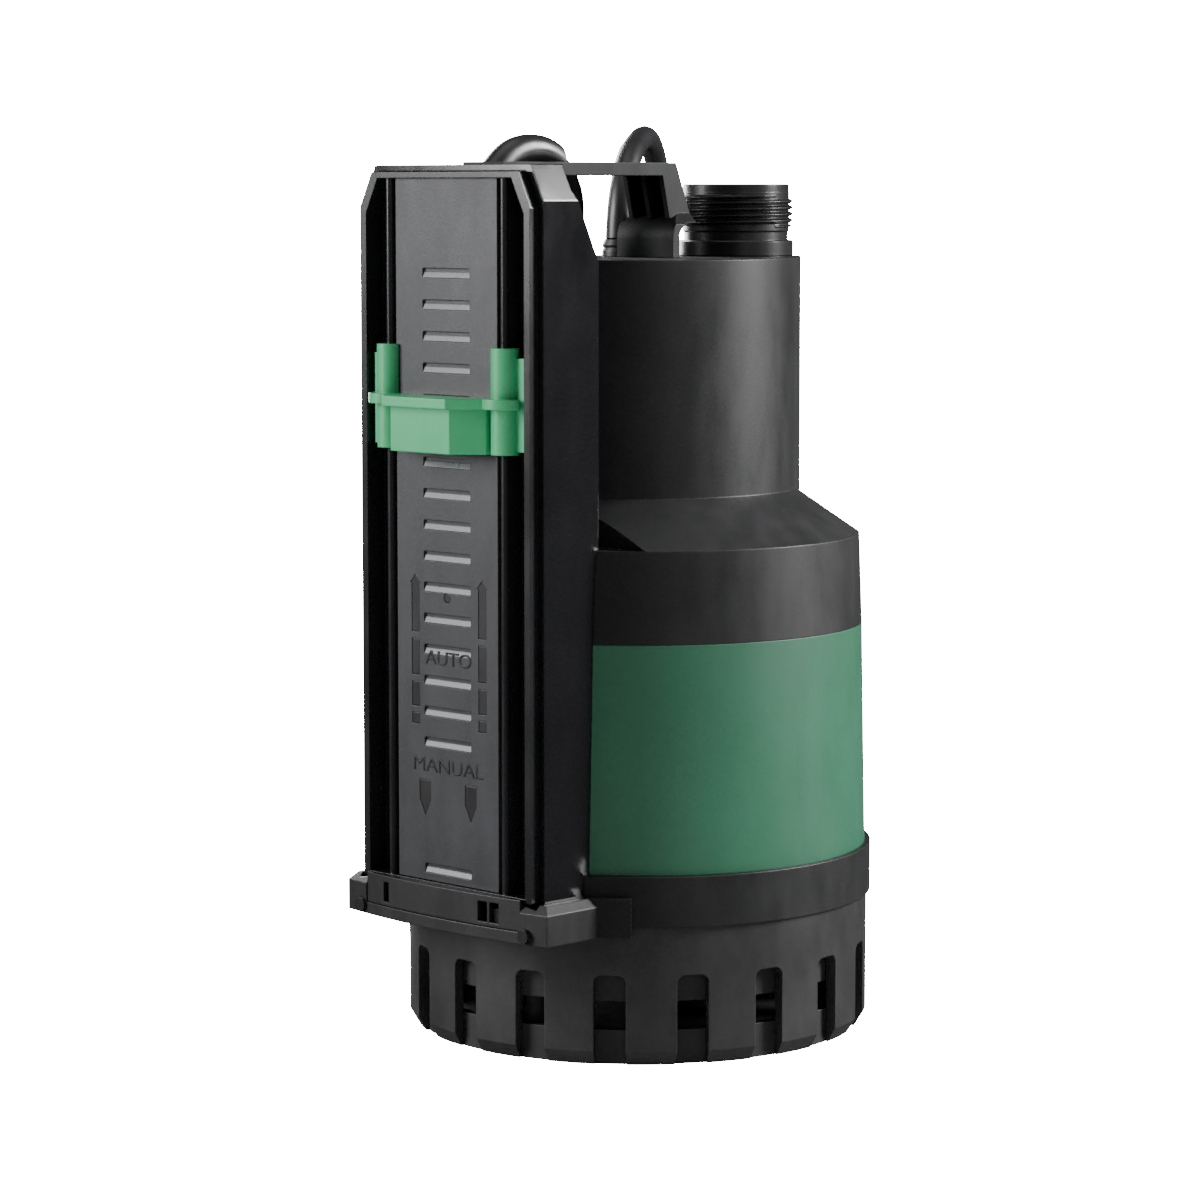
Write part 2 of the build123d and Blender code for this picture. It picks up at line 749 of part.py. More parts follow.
with BuildPart() as handle:
    add(foot_profile.part)
    with BuildSketch(Plane.YZ.offset(-grip_half_w)):
        with BuildLine():
            Polyline(
                (slope_top_y, grip_top - grip_skin), (grip_back_y, grip_top - grip_skin),
                (grip_back_y, grip_top), (slope_top_y, grip_top), close=True,
            )
        make_face()
        with BuildLine():
            Polyline(
                (grip_back_y, grip_top), (shelf_y, shelf_top), (shelf_y - grip_wall, shelf_top - grip_skin),
                (grip_back_y - grip_wall, grip_top - grip_skin), close=True,
            )
        make_face()
    extrude(amount=2 * grip_half_w)
    for cheek in (-grip_half_w, grip_half_w - grip_wall, -grip_wall / 2):
        with BuildSketch(Plane.YZ.offset(cheek)):
            with BuildLine():
                Polyline(
                    (grip_flange_y, grip_top - grip_skin), (grip_flange_y - grip_skin, grip_top - grip_t),
                    (post_front_y, grip_top - grip_t), (post_front_y + foot_wall, shelf_top - grip_skin),
                    (shelf_y - grip_wall, shelf_top - grip_skin), (grip_back_y, grip_top - grip_skin),
                    close=True,
                )
            make_face()
        extrude(amount=grip_wall)
    with Locations(*foot_screws):
        Cylinder(screw_r - run_gap, 2 * foot_round, mode=Mode.SUBTRACT)
handle.part.label = "handle"
export_step(handle.part, "parts/handle.step")

with BuildPart() as handle_screws:
    with Locations(*[Vector(*spot) - Vector(0, 0, wall) for spot in foot_screws]):
        Cylinder(screw_r - run_gap, foot_round + wall, align=base)
        Cylinder(screw_head_r, screw_head_h, align=(Align.CENTER, Align.CENTER, Align.MAX))
handle_screws.part.label = "handle_screws"
export_step(handle_screws.part, "parts/handle_screws.step")

# ---------------------------------------------------------------- motor
with BuildPart() as motor_can:
    add(tube(can_r, can_r - can_wall, can_z, can_top))
motor_can.part.label = "motor_can"
export_step(motor_can.part, "parts/motor_can.step")

with BuildPart() as lower_bearing_bracket:
    add(tube(can_r - can_wall, shaft_r + run_gap, can_z, lower_bearing_z))
    add(tube(bearing_r + pocket_wall, bearing_r, lower_bearing_z, lower_bearing_z + bearing_w))
lower_bearing_bracket.part.label = "lower_bearing_bracket"
export_step(lower_bearing_bracket.part, "parts/lower_bearing_bracket.step")

with BuildPart() as upper_bearing_bracket:
    add(tube(can_r - can_wall, shaft_r + run_gap, upper_bracket_z, can_top))
    add(tube(bearing_r + pocket_wall, bearing_r, upper_bearing_z, upper_bracket_z))
upper_bearing_bracket.part.label = "upper_bearing_bracket"
export_step(upper_bearing_bracket.part, "parts/upper_bearing_bracket.step")

for place, low in (("lower", lower_bearing_z), ("upper", upper_bearing_z)):
    with BuildPart() as outer_race:
        add(tube(bearing_r, bearing_r - race_t, low, low + bearing_w))
    outer_race.part.label = f"{place}_bearing_outer"
    export_step(outer_race.part, f"parts/{place}_bearing_outer.step")
    with BuildPart() as inner_race:
        add(tube(journal_r + race_t, journal_r, low + run_gap, low + bearing_w - run_gap))
    inner_race.part.label = f"{place}_bearing_inner"
    export_step(inner_race.part, f"parts/{place}_bearing_inner.step")
    with BuildPart() as balls:
        with Locations((0, 0, low + bearing_w / 2)):
            with PolarLocations((bearing_r + journal_r) / 2, ball_count):
                Sphere(ball_r)
    balls.part.label = f"{place}_bearing_balls"
    export_step(balls.part, f"parts/{place}_bearing_balls.step")

with BuildPart() as stator_core:
    with BuildSketch(Plane.XY.offset(stator_z)):
        Circle(can_r - can_wall)
        Circle(rotor_r + air_gap, mode=Mode.SUBTRACT)
        with PolarLocations((winding_in_r + winding_out_r) / 2, stator_slots):
            Rectangle(winding_out_r - winding_in_r, winding_w, mode=Mode.SUBTRACT)
    extrude(amount=stator_h)
stator_core.part.label = "stator_core"
export_step(stator_core.part, "parts/stator_core.step")

with BuildPart() as stator_windings:
    with BuildSketch(Plane.XY.offset(stator_z)):
        with PolarLocations((winding_in_r + winding_out_r) / 2, stator_slots):
            Rectangle(winding_out_r - winding_in_r - 2 * fit_gap, winding_w - 2 * fit_gap)
    extrude(amount=stator_h)
    for low in (stator_z - end_turn_h, stator_z + stator_h):
        add(turned([
            (winding_in_r, low), (winding_out_r, low),
            (winding_out_r, low + end_turn_h), (winding_in_r, low + end_turn_h),
        ]))
    ends = stator_windings.edges().filter_by(GeomType.CIRCLE)
    fillet(ends.group_by(Axis.Z)[0] + ends.group_by(Axis.Z)[-1], end_turn_h / 4)
stator_windings.part.label = "stator_windings"
export_step(stator_windings.part, "parts/stator_windings.step")

core_low = stator_z - end_turn_h / 2
core_high = stator_z + stator_h + end_turn_h / 2
with BuildPart() as rotor_core:
    add(tube(rotor_r, core_bore_r, stator_z, stator_z + stator_h))
    add(tube(rotor_r - end_ring_step, core_bore_r, core_low, core_high))
rotor_core.part.label = "rotor_core"
export_step(rotor_core.part, "parts/rotor_core.step")

with BuildPart() as shaft:
    add(turned([
        (0, shaft_low), (shaft_r, shaft_low), (shaft_r, lower_bearing_z + run_gap),
        (journal_r, lower_bearing_z + run_gap), (journal_r, core_low), (core_bore_r, core_low),
        (core_bore_r, core_high), (journal_r, core_high), (journal_r, upper_bracket_z - run_gap),
        (0, upper_bracket_z - run_gap),
    ]))
    chamfer(shaft.edges().group_by(Axis.Z)[0], journal_step)
shaft.part.label = "shaft"
export_step(shaft.part, "parts/shaft.step")

seal_z = flange_z + seal_seat_h
with BuildPart() as seal_seat:
    add(tube(seal_r - fit_gap, shaft_r + run_gap, flange_z + run_gap, seal_z))
seal_seat.part.label = "seal_seat"
export_step(seal_seat.part, "parts/seal_seat.step")

with BuildPart() as seal_ring:
    add(tube(seal_r - journal_step, shaft_r, seal_z + seal_gap, seal_z + seal_ring_h))
seal_ring.part.label = "seal_ring"
export_step(seal_ring.part, "parts/seal_ring.step")

with BuildPart() as seal_spring:
    with BuildLine() as spring_line:
        Helix(
            seal_spring_h / seal_spring_turns, seal_spring_h, shaft_r + core_step,
            center=(0, 0, seal_z + seal_ring_h + spring_wire_r + seal_gap),
        )
    with BuildSketch(Plane(origin=spring_line.line @ 0, z_dir=spring_line.line % 0)):
        Circle(spring_wire_r)
    sweep(is_frenet=True)
seal_spring.part.label = "seal_spring"
export_step(seal_spring.part, "parts/seal_spring.step")

with BuildPart() as oil_housing:
    add(tube(oil_r, oil_r - oil_wall, flange_top, can_z))
    add(tube(oil_r, shaft_r + lip_seal_w, can_z - oil_wall, can_z))
oil_housing.part.label = "oil_housing"
export_step(oil_housing.part, "parts/oil_housing.step")

with BuildPart() as shaft_seal:
    add(tube(shaft_r + lip_seal_w, shaft_r + seal_gap, can_z - oil_wall, can_z))
shaft_seal.part.label = "shaft_seal"
export_step(shaft_seal.part, "parts/shaft_seal.step")

with BuildPart() as motor_head:
    add(tube(can_r, can_r - head_wall, can_top, head_top))
    add(turned([
        (0, head_top - head_wall), (can_r, head_top - head_wall), (can_r, head_top), (0, head_top),
    ]))
    chamfer(motor_head.edges().group_by(Axis.Z)[-1], head_wall / 2)
motor_head.part.label = "motor_head"
export_step(motor_head.part, "parts/motor_head.step")

with BuildPart() as capacitor:
    with Locations((capacitor_r + wall, 0, can_top)):
        Cylinder(capacitor_r, capacitor_h, align=base)
    fillet(capacitor.edges().group_by(Axis.Z)[-1], wall / 2)
capacitor.part.label = "capacitor"
export_step(capacitor.part, "parts/capacitor.step")

with BuildPart() as terminal_block:
    with Locations((-terminal_size[0], 0, can_top)):
        Box(*terminal_size, align=base)
    with Locations((-terminal_size[0], 0, can_top + terminal_size[2])):
        with GridLocations(terminal_size[0] / 2, terminal_size[1] / 3, 2, 3):
            Hole(screw_r, wall)
terminal_block.part.label = "terminal_block"
export_step(terminal_block.part, "parts/terminal_block.step")

# ---------------------------------------------------------------- sensor unit
def tall_outline(half_w, low, high):
    """Return the outline of a tall plate with slanted top corners, in X and Z."""
    return [
        (-half_w, low), (half_w, low), (half_w, high - corner_h),
        (half_w - corner_w, high), (corner_w - half_w, high), (-half_w, high - corner_h),
    ]


def tall_block(half_w, low, high, front_y, back_y):
    """Return a tall block with slanted top corners between two Y planes."""
    with BuildPart() as piece:
        with BuildSketch(Plane.XZ.offset(-front_y)):
            with BuildLine():
                Polyline(*tall_outline(half_w, low, high), close=True)
            make_face()
        extrude(amount=front_y - back_y)
    return piece.part


lead_route = [
    (lead_x, lead_y, casing_top + lead_gland_h),
    (lead_x, lead_y, casing_top + lead_rise[0]),
    (lead_x, lead_y - lead_bend_reach, casing_top + lead_rise[1]),
    (lead_x, sensor_back_y + lead_span[0], casing_top + lead_rise[2]),
    (lead_x, sensor_back_y + lead_span[1], casing_top + lead_rise[3]),
]
lead_radii = bend_radii(lead_route)
print("sensor lead radii", [round(r, 1) for r in lead_radii])

bezel_back_y = bezel_floor_y + bezel_floor_t
sensor_inner_w = sensor_half_w - sensor_wall
with BuildPart() as sensor_housing:
    add(tall_block(sensor_half_w, sensor_bottom, sensor_top, sensor_front_y, sensor_back_y))
    with BuildSketch(Plane.YZ.offset(-2 * sensor_half_w)):
        with BuildLine():
            Polyline(
                (slope_top_y, sensor_top + wall), (slope_top_y, sensor_top - slope_drop[0]),
                (sensor_back_y, sensor_top - slope_drop[1]), (0, sensor_top - slope_drop[1]),
                (0, sensor_top + wall), close=True,
            )
        make_face()
    extrude(amount=4 * sensor_half_w, mode=Mode.SUBTRACT)
    add(turned([
        (0, 0), (band_r + run_gap, 0), (band_r + run_gap, band_top + run_gap),
        (sleeve_foot_r + run_gap, band_top + run_gap), (sleeve_head_r + run_gap, sleeve_top),
        (collar_top_r + run_gap, collar_top + run_gap), (0, collar_top + run_gap),
    ]), mode=Mode.SUBTRACT)
    add(
        tall_block(
            sensor_inner_w, sensor_bottom + sensor_wall, sensor_top - sensor_wall,
            sensor_front_y, bezel_back_y,
        ),
        mode=Mode.SUBTRACT,
    )
    with BuildSketch(Plane.YZ.offset(-sensor_inner_w)):
        with BuildLine():
            Polyline(
                (sensor_front_y, collar_top + 2 * wall),
                (sensor_back_y - sensor_wall, collar_top + 2 * wall),
                (sensor_back_y - sensor_wall, sensor_top - slope_drop[1] - sensor_wall),
                (slope_top_y - sensor_wall, sensor_top - slope_drop[0] - sensor_wall),
                (slope_top_y - sensor_wall, sensor_top - corner_h - sensor_wall),
                (sensor_front_y, sensor_top - corner_h - sensor_wall), close=True,
            )
        make_face()
    extrude(amount=2 * sensor_inner_w, mode=Mode.SUBTRACT)
    add(swept(lead_route, lead_radii, lead_sleeve_r + fit_gap), mode=Mode.SUBTRACT)
sensor_housing.part.label = "sensor_housing"
export_step(sensor_housing.part, "parts/sensor_housing.step")

bezel_half_w = sensor_inner_w - fit_gap
with BuildPart() as sensor_bezel:
    add(tall_block(
        bezel_half_w, bezel_bottom, sensor_top - sensor_wall - fit_gap, bezel_front_y, bezel_back_y
    ))
    add(
        tall_block(
            bezel_half_w - bezel_side_w, window_bottom,
            sensor_top - sensor_wall - fit_gap - bezel_top_w / 2, bezel_front_y, bezel_floor_y,
        ),
        mode=Mode.SUBTRACT,
    )
    for side in (-1, 1):
        with BuildSketch(Plane.XY.offset(bezel_bottom)):
            with Locations((side * rail_x, bezel_floor_y)):
                Rectangle(
                    rail_t, bezel_floor_y - rail_nose_y - rail_t / 2, align=outward
                )
            with Locations((side * rail_x, rail_nose_y + rail_t / 2)):
                Circle(rail_t / 2)
        extrude(amount=sensor_top - bezel_top_w - bezel_bottom)
sensor_bezel.part.label = "sensor_bezel"
export_step(sensor_bezel.part, "parts/sensor_bezel.step")

panel_low = window_bottom + fit_gap
panel_high = sensor_top - bezel_top_w - run_gap
mark_tip = notch_top_z - mark_tip_drop
bar_foot = notch_top_z - bar_drops[0][0]
pointer_top = notch_top_z - pointer_drop
pointer_tip = notch_top_z - pointer_tip_drop
with BuildPart() as scale_panel:
    with BuildSketch(Plane.XY.offset(panel_low)):
        with Locations((0, panel_front_y)):
            Rectangle(2 * panel_half_w, bezel_floor_y - panel_front_y, align=up)
        with Locations((0, panel_front_y + panel_t)):
            Rectangle(2 * (panel_half_w - panel_t), 4 * wall, align=up, mode=Mode.SUBTRACT)
    extrude(amount=panel_high - panel_low)
    with BuildSketch(Plane.XZ.offset(-panel_front_y)):
        for notch in range(notch_count):
            with Locations((0, notch_top_z - notch * notch_pitch)):
                RectangleRounded(notch_w, notch_h, notch_corner_r)
        with Locations((0, notch_top_z - low_notch_drop)):
            RectangleRounded(notch_w, notch_h, notch_corner_r)
    extrude(amount=-notch_depth, mode=Mode.SUBTRACT)
    with BuildSketch(Plane.XZ.offset(-panel_front_y)):
        with Locations((0, notch_top_z - dot_drop)):
            Circle(dot_r)
        for centre_x in mark_x:
            with BuildLine():
                Polyline(
                    (centre_x - arrow_half_w, mark_tip - arrow_h), (centre_x, mark_tip),
                    (centre_x + arrow_half_w, mark_tip - arrow_h),
                    (centre_x + bar_half_w, mark_tip - arrow_h), (centre_x + bar_half_w, bar_foot),
                    (centre_x - bar_half_w, bar_foot), (centre_x - bar_half_w, mark_tip - arrow_h),
                    close=True,
                )
            make_face()
            for low_drop, high_drop in bar_drops[1:]:
                with Locations((centre_x, notch_top_z - (low_drop + high_drop) / 2)):
                    Rectangle(2 * bar_half_w, low_drop - high_drop)
        for centre_x in pointer_x:
            with BuildLine():
                Polyline(
                    (centre_x - arrow_half_w, pointer_top), (centre_x + arrow_half_w, pointer_top),
                    (centre_x + arrow_half_w, pointer_top - pointer_h), (centre_x, pointer_tip),
                    (centre_x - arrow_half_w, pointer_top - pointer_h), close=True,
                )
            make_face()
    extrude(amount=-mark_depth, mode=Mode.SUBTRACT)
scale_panel.part.label = "scale_panel"
export_step(scale_panel.part, "parts/scale_panel.step")

with BuildPart() as sensor_board:
    with BuildSketch(Plane.XZ.offset(-(bezel_floor_y - 2 * wall / 3))):
        with Locations((0, (panel_low + panel_high) / 2)):
            Rectangle(2 * (panel_half_w - panel_t) - wall, panel_high - panel_low - 4 * wall)
    extrude(amount=board_t)
    with BuildSketch(Plane.XZ.offset(-(bezel_floor_y - 2 * wall / 3))):
        for chip_drop in chip_drops:
            with Locations((0, notch_top_z - chip_drop)):
                Rectangle(4 * wall, 4 * wall)
    extrude(amount=-board_t)
sensor_board.part.label = "sensor_board"
export_step(sensor_board.part, "parts/sensor_board.step")

# ---------------------------------------------------------------- slider
slider_back_y = panel_front_y - run_gap
with BuildPart() as slider_cavity:
    with BuildSketch(Plane.XY.offset(slider_z + slider_wall)):
        with BuildLine():
            Polyline(
                (-slider_shoulder_half_w + slider_wall, slider_back_y),
                (-slider_shoulder_half_w + slider_wall, slider_shoulder_y + slider_wall / 2),
                (-slider_nose_half_w + slider_wall / 2, slider_nose_y + slider_wall),
                (slider_nose_half_w - slider_wall / 2, slider_nose_y + slider_wall),
                (slider_shoulder_half_w - slider_wall, slider_shoulder_y + slider_wall / 2),
                (slider_shoulder_half_w - slider_wall, slider_back_y),
                close=True,
            )
        make_face()
    extrude(amount=slider_h - 2 * slider_wall)

with BuildPart() as slider:
    with BuildSketch(Plane.XY.offset(slider_z)):
        with BuildLine():
            Polyline(
                (-slider_shoulder_half_w, slider_back_y), (-slider_shoulder_half_w, slider_shoulder_y),
                (-slider_nose_half_w, slider_nose_y), (slider_nose_half_w, slider_nose_y),
                (slider_shoulder_half_w, slider_shoulder_y), (slider_shoulder_half_w, slider_back_y),
                close=True,
            )
        make_face()
    extrude(amount=slider_h)
    with BuildSketch(Plane.XY.offset(ledge_z)):
        with BuildLine():
            Polyline(
                (-slider_shoulder_half_w, slider_back_y), (-slider_shoulder_half_w, slider_shoulder_y),
                (-slider_nose_half_w, slider_nose_y), (slider_nose_half_w, slider_nose_y),
                (slider_shoulder_half_w, slider_shoulder_y), (slider_shoulder_half_w, slider_back_y),
                close=True,
            )
        make_face()
        with Locations(*rail_spots):
            Circle(slider_post_r)
        offset(amount=ledge_reach, kind=Kind.INTERSECTION)
        with Locations((0, slider_back_y)):
            Rectangle(4 * rail_x, 4 * rail_x, align=outward, mode=Mode.INTERSECT)
    extrude(amount=ledge_h)
    for side in (-1, 1):
        with BuildSketch(Plane.XY.offset(slider_z)):
            with Locations((side * rail_x, rail_nose_y + rail_t / 2)):
                Circle(slider_post_r)
        extrude(amount=slider_post_h)
        with BuildSketch(Plane.XY.offset(slider_z + slider_wall / 2)):
            with Locations((side * (rail_x + slider_wing_x) / 2, slider_wing_y)):
                Rectangle(slider_wing_x - rail_x, slider_wing_t, align=up)
        extrude(amount=slider_post_h - 2 * slider_wall)
        with BuildSketch(Plane.XY.offset(slider_z)):
            with Locations((side * rail_x, rail_nose_y + rail_t / 2)):
                Circle(rail_t / 2 + run_gap)
                Rectangle(rail_t + 2 * run_gap, 4 * wall, align=up)
        extrude(amount=slider_post_h, mode=Mode.SUBTRACT)
    with Locations((0, slider_back_y, slider_z)):
        Box(
            2 * (panel_half_w + run_gap), 4 * wall, slider_post_h,
            align=(Align.CENTER, Align.MIN, Align.MIN), mode=Mode.SUBTRACT,
        )
    add(slider_cavity.part, mode=Mode.SUBTRACT)
slider.part.label = "slider"
export_step(slider.part, "parts/slider.step")

with BuildPart() as slider_magnets:
    with BuildSketch(Plane.XZ.offset(-slider_shoulder_y - slider_wall)):
        with Locations(*[(side * slider_nose_half_w / 2, slider_z + slider_h / 2) for side in (-1, 1)]):
            Rectangle(2 * wall, slider_h - 2 * slider_wall)
    extrude(amount=slider_shoulder_y - slider_nose_y - 2 * slider_wall)
slider_magnets.part.label = "slider_magnets"
export_step(slider_magnets.part, "parts/slider_magnets.step")

# ---------------------------------------------------------------- glands and sensor lead
with BuildPart() as mains_gland:
    with Locations((mains_x, mains_y, 0)):
        add(turned([
            (0, head_top), (boot_r, head_top), (boot_r, casing_top), (gland_r, casing_top),
            (gland_r, casing_top + gland_h / 3), (gland_r - gland_lip / 2, casing_top + gland_h / 2),
            (gland_r, casing_top + 2 * gland_h / 3), (gland_r - gland_lip, casing_top + gland_h),
            (0, casing_top + gland_h),
        ]))
mains_gland.part.label = "mains_gland"
export_step(mains_gland.part, "parts/mains_gland.step")

boot_turn_rad = radians(boot_turn)
boot_foot_z = casing_top + gland_h
boot_reach = boot_bend_r * (1 - cos(boot_turn_rad))
boot_end = (
    mains_x + arch_dir[0] * boot_reach,
    mains_y + arch_dir[1] * boot_reach,
    boot_foot_z + boot_bend_r * sin(boot_turn_rad),
)
boot_mid_reach = boot_bend_r * (1 - cos(boot_turn_rad / 2))
boot_mid = (
    mains_x + arch_dir[0] * boot_mid_reach,
    mains_y + arch_dir[1] * boot_mid_reach,
    boot_foot_z + boot_bend_r * sin(boot_turn_rad / 2),
)
with BuildPart() as mains_boot:
    with BuildLine():
        ThreePointArc((mains_x, mains_y, boot_foot_z), boot_mid, boot_end)
    with BuildSketch(Plane.XY.offset(boot_foot_z)):
        with Locations((mains_x, mains_y)):
            Circle(boot_r)
    sweep()
mains_boot.part.label = "mains_boot"
export_step(mains_boot.part, "parts/mains_boot.step")

with BuildPart() as sensor_gland:
    with Locations((lead_x, lead_y, 0)):
        add(turned([
            (0, head_top), (boot_r, head_top), (boot_r, casing_top), (gland_r, casing_top),
            (gland_r, casing_top + gland_h / 2), (gland_r - gland_lip, casing_top + gland_h),
            (lead_sleeve_r, casing_top + lead_gland_h), (0, casing_top + lead_gland_h),
        ]))
sensor_gland.part.label = "sensor_gland"
export_step(sensor_gland.part, "parts/sensor_gland.step")

with BuildPart() as sensor_lead:
    add(swept(lead_route, lead_radii, lead_r))
sensor_lead.part.label = "sensor_lead"
export_step(sensor_lead.part, "parts/sensor_lead.step")

sleeve_mouth_y = lead_y - lead_sleeve_reach
with BuildPart() as lead_sleeve:
    add(swept(lead_route, lead_radii, lead_sleeve_r, lead_sleeve_bore_r))
    with Locations((0, sleeve_mouth_y, 0)):
        Box(
            4 * rail_x, 4 * rail_x, 4 * casing_top,
            align=(Align.CENTER, Align.MIN, Align.CENTER), mode=Mode.SUBTRACT,
        )
lead_sleeve.part.label = "lead_sleeve"
export_step(lead_sleeve.part, "parts/lead_sleeve.step")

# ---------------------------------------------------------------- mains cord, coil and plug
cord_route = [
    boot_end,
    (-42.7, 45.4, casing_top + 45.1),
    (-54.7, 63.5, casing_top + 41.3),
    (-64.3, 78.1, casing_top + 24.9),
    (-69.4, 85.8, casing_top - 9.9),
    (-75.0, 84.9, 213.0),
    (-77.5, 77.0, 155.0),
    (-77.5, 66.5, 98.0),
    (-72.0, 58.0, 62.0),
    (-57.0, 67.8, 40.0),
    (-44.7, 95.5, 24.0),
    (-46.8, 125.8, 11.0),
    (-63.3, 151.0, cord_r),
    (-91.0, 160.2, cord_r),
    (-117.5, 158.6, cord_r),
]
cord_radii = bend_radii(cord_route)
print("mains cord radii", [round(r, 1) for r in cord_radii])
with BuildPart() as mains_cord:
    add(swept(cord_route, cord_radii, cord_r))
mains_cord.part.label = "mains_cord"
export_step(mains_cord.part, "parts/mains_cord.step")

coil_w = 2 * coil_columns * cord_r
coil_h = 2 * coil_rows * cord_r
tail_route = [
    (-73.2, 66.9, coil_h - cord_r),
    (-55.9, 80.6, coil_h - 0.6 * cord_r),
    (-47.2, 98.5, coil_h + 0.45 * cord_r),
    (-47.9, 118.5, coil_h + 2 * cord_r),
    (-57.8, 135.7, coil_h + 3.5 * cord_r),
    (-74.8, 146.3, coil_h + plug_r),
    (-94.7, 148.0, coil_h + plug_r),
]
tail_radii = bend_radii(tail_route)
print("cord tail radii", [round(r, 1) for r in tail_radii])
with BuildPart() as cord_tail:
    add(swept(tail_route, tail_radii, cord_r))
cord_tail.part.label = "cord_tail"
export_step(cord_tail.part, "parts/cord_tail.step")

tie_plane = Plane(origin=(*coil_at, 0), x_dir=tie_outward, z_dir=tie_along)
with BuildPart() as coil_tie:
    with BuildSketch(tie_plane):
        with Locations((coil_mid_r, (coil_h + tie_t) / 2)):
            RectangleRounded(coil_w + 2 * tie_t + 2 * tie_gap, coil_h + tie_t, cord_r)
        with Locations((coil_mid_r, (coil_h + tie_t) / 2)):
            RectangleRounded(coil_w + 2 * tie_gap, coil_h - tie_t, tie_t, mode=Mode.SUBTRACT)
    extrude(amount=tie_w / 2, both=True)
coil_tie.part.label = "coil_tie"
export_step(coil_tie.part, "parts/coil_tie.step")

with BuildPart() as cord_coil:
    with Locations((*coil_at, 0)):
        add(tube(coil_mid_r + coil_w / 2, coil_mid_r - coil_w / 2, 0, coil_h))
    fillet(cord_coil.edges().filter_by(GeomType.CIRCLE), cord_r)
    with BuildSketch(tie_plane):
        with Locations((coil_mid_r, 0)):
            Rectangle(2 * coil_w, 2 * tie_t)
    extrude(amount=tie_w / 2 + tie_gap, both=True, mode=Mode.SUBTRACT)
cord_coil.part.label = "cord_coil"
export_step(cord_coil.part, "parts/cord_coil.step")

plug_plane = Plane(origin=tail_route[-1], x_dir=(0, 0, 1), z_dir=plug_axis)
with BuildPart() as plug_body:
    with BuildSketch(plug_plane):
        Circle(plug_boot_r)
    extrude(amount=plug_boot_l)
    with BuildSketch(plug_plane.offset(plug_boot_l)):
        Circle(plug_r)
    extrude(amount=plug_body_l)
    fillet(plug_body.edges().filter_by(GeomType.CIRCLE).sort_by(Axis.Y)[1:2], plug_boot_r / 2)
plug_body.part.label = "plug_body"
export_step(plug_body.part, "parts/plug_body.step")

with BuildPart() as plug_pins:
    with BuildSketch(plug_plane.offset(plug_boot_l + plug_body_l)):
        with Locations((0, -plug_pin_gap / 2), (0, plug_pin_gap / 2)):
            Circle(plug_pin_r)
    extrude(amount=plug_pin_l)
plug_pins.part.label = "plug_pins"
export_step(plug_pins.part, "parts/plug_pins.step")

print("coil length of cord", round(2 * pi * coil_mid_r * coil_turns))
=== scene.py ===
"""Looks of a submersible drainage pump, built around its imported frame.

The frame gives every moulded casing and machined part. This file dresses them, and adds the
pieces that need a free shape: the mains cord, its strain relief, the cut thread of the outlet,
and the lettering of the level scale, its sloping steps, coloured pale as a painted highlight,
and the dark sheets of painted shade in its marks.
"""

import logging
import math
from dataclasses import dataclass
from enum import Enum
from typing import Iterable, Sequence

import bmesh
import bpy
from mathutils import Matrix, Vector


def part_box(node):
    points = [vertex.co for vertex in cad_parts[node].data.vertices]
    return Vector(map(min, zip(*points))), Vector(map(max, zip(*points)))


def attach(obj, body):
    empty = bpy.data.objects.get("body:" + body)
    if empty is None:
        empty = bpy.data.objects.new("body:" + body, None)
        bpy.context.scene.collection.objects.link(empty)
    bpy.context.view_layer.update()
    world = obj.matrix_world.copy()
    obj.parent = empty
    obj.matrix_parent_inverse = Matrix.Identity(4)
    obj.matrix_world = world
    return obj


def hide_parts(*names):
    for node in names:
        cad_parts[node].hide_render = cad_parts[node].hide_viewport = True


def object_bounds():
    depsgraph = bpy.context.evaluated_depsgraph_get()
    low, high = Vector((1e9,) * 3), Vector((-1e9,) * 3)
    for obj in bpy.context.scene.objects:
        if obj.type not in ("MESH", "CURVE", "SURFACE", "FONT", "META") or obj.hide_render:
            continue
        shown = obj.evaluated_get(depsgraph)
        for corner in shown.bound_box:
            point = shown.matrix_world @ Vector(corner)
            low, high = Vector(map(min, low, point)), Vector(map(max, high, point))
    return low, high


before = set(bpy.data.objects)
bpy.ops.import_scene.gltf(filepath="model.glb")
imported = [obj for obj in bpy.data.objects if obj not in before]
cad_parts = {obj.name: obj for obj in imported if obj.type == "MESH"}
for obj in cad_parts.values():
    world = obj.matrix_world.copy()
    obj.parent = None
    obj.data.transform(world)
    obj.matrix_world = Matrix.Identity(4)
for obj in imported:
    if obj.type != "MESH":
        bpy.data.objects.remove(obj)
CAD_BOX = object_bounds()

MM = 0.001
NOISE_CORE = (0.3, 0.7)
WHITE = (1, 1, 1, 1)
log = logging.getLogger("pump")


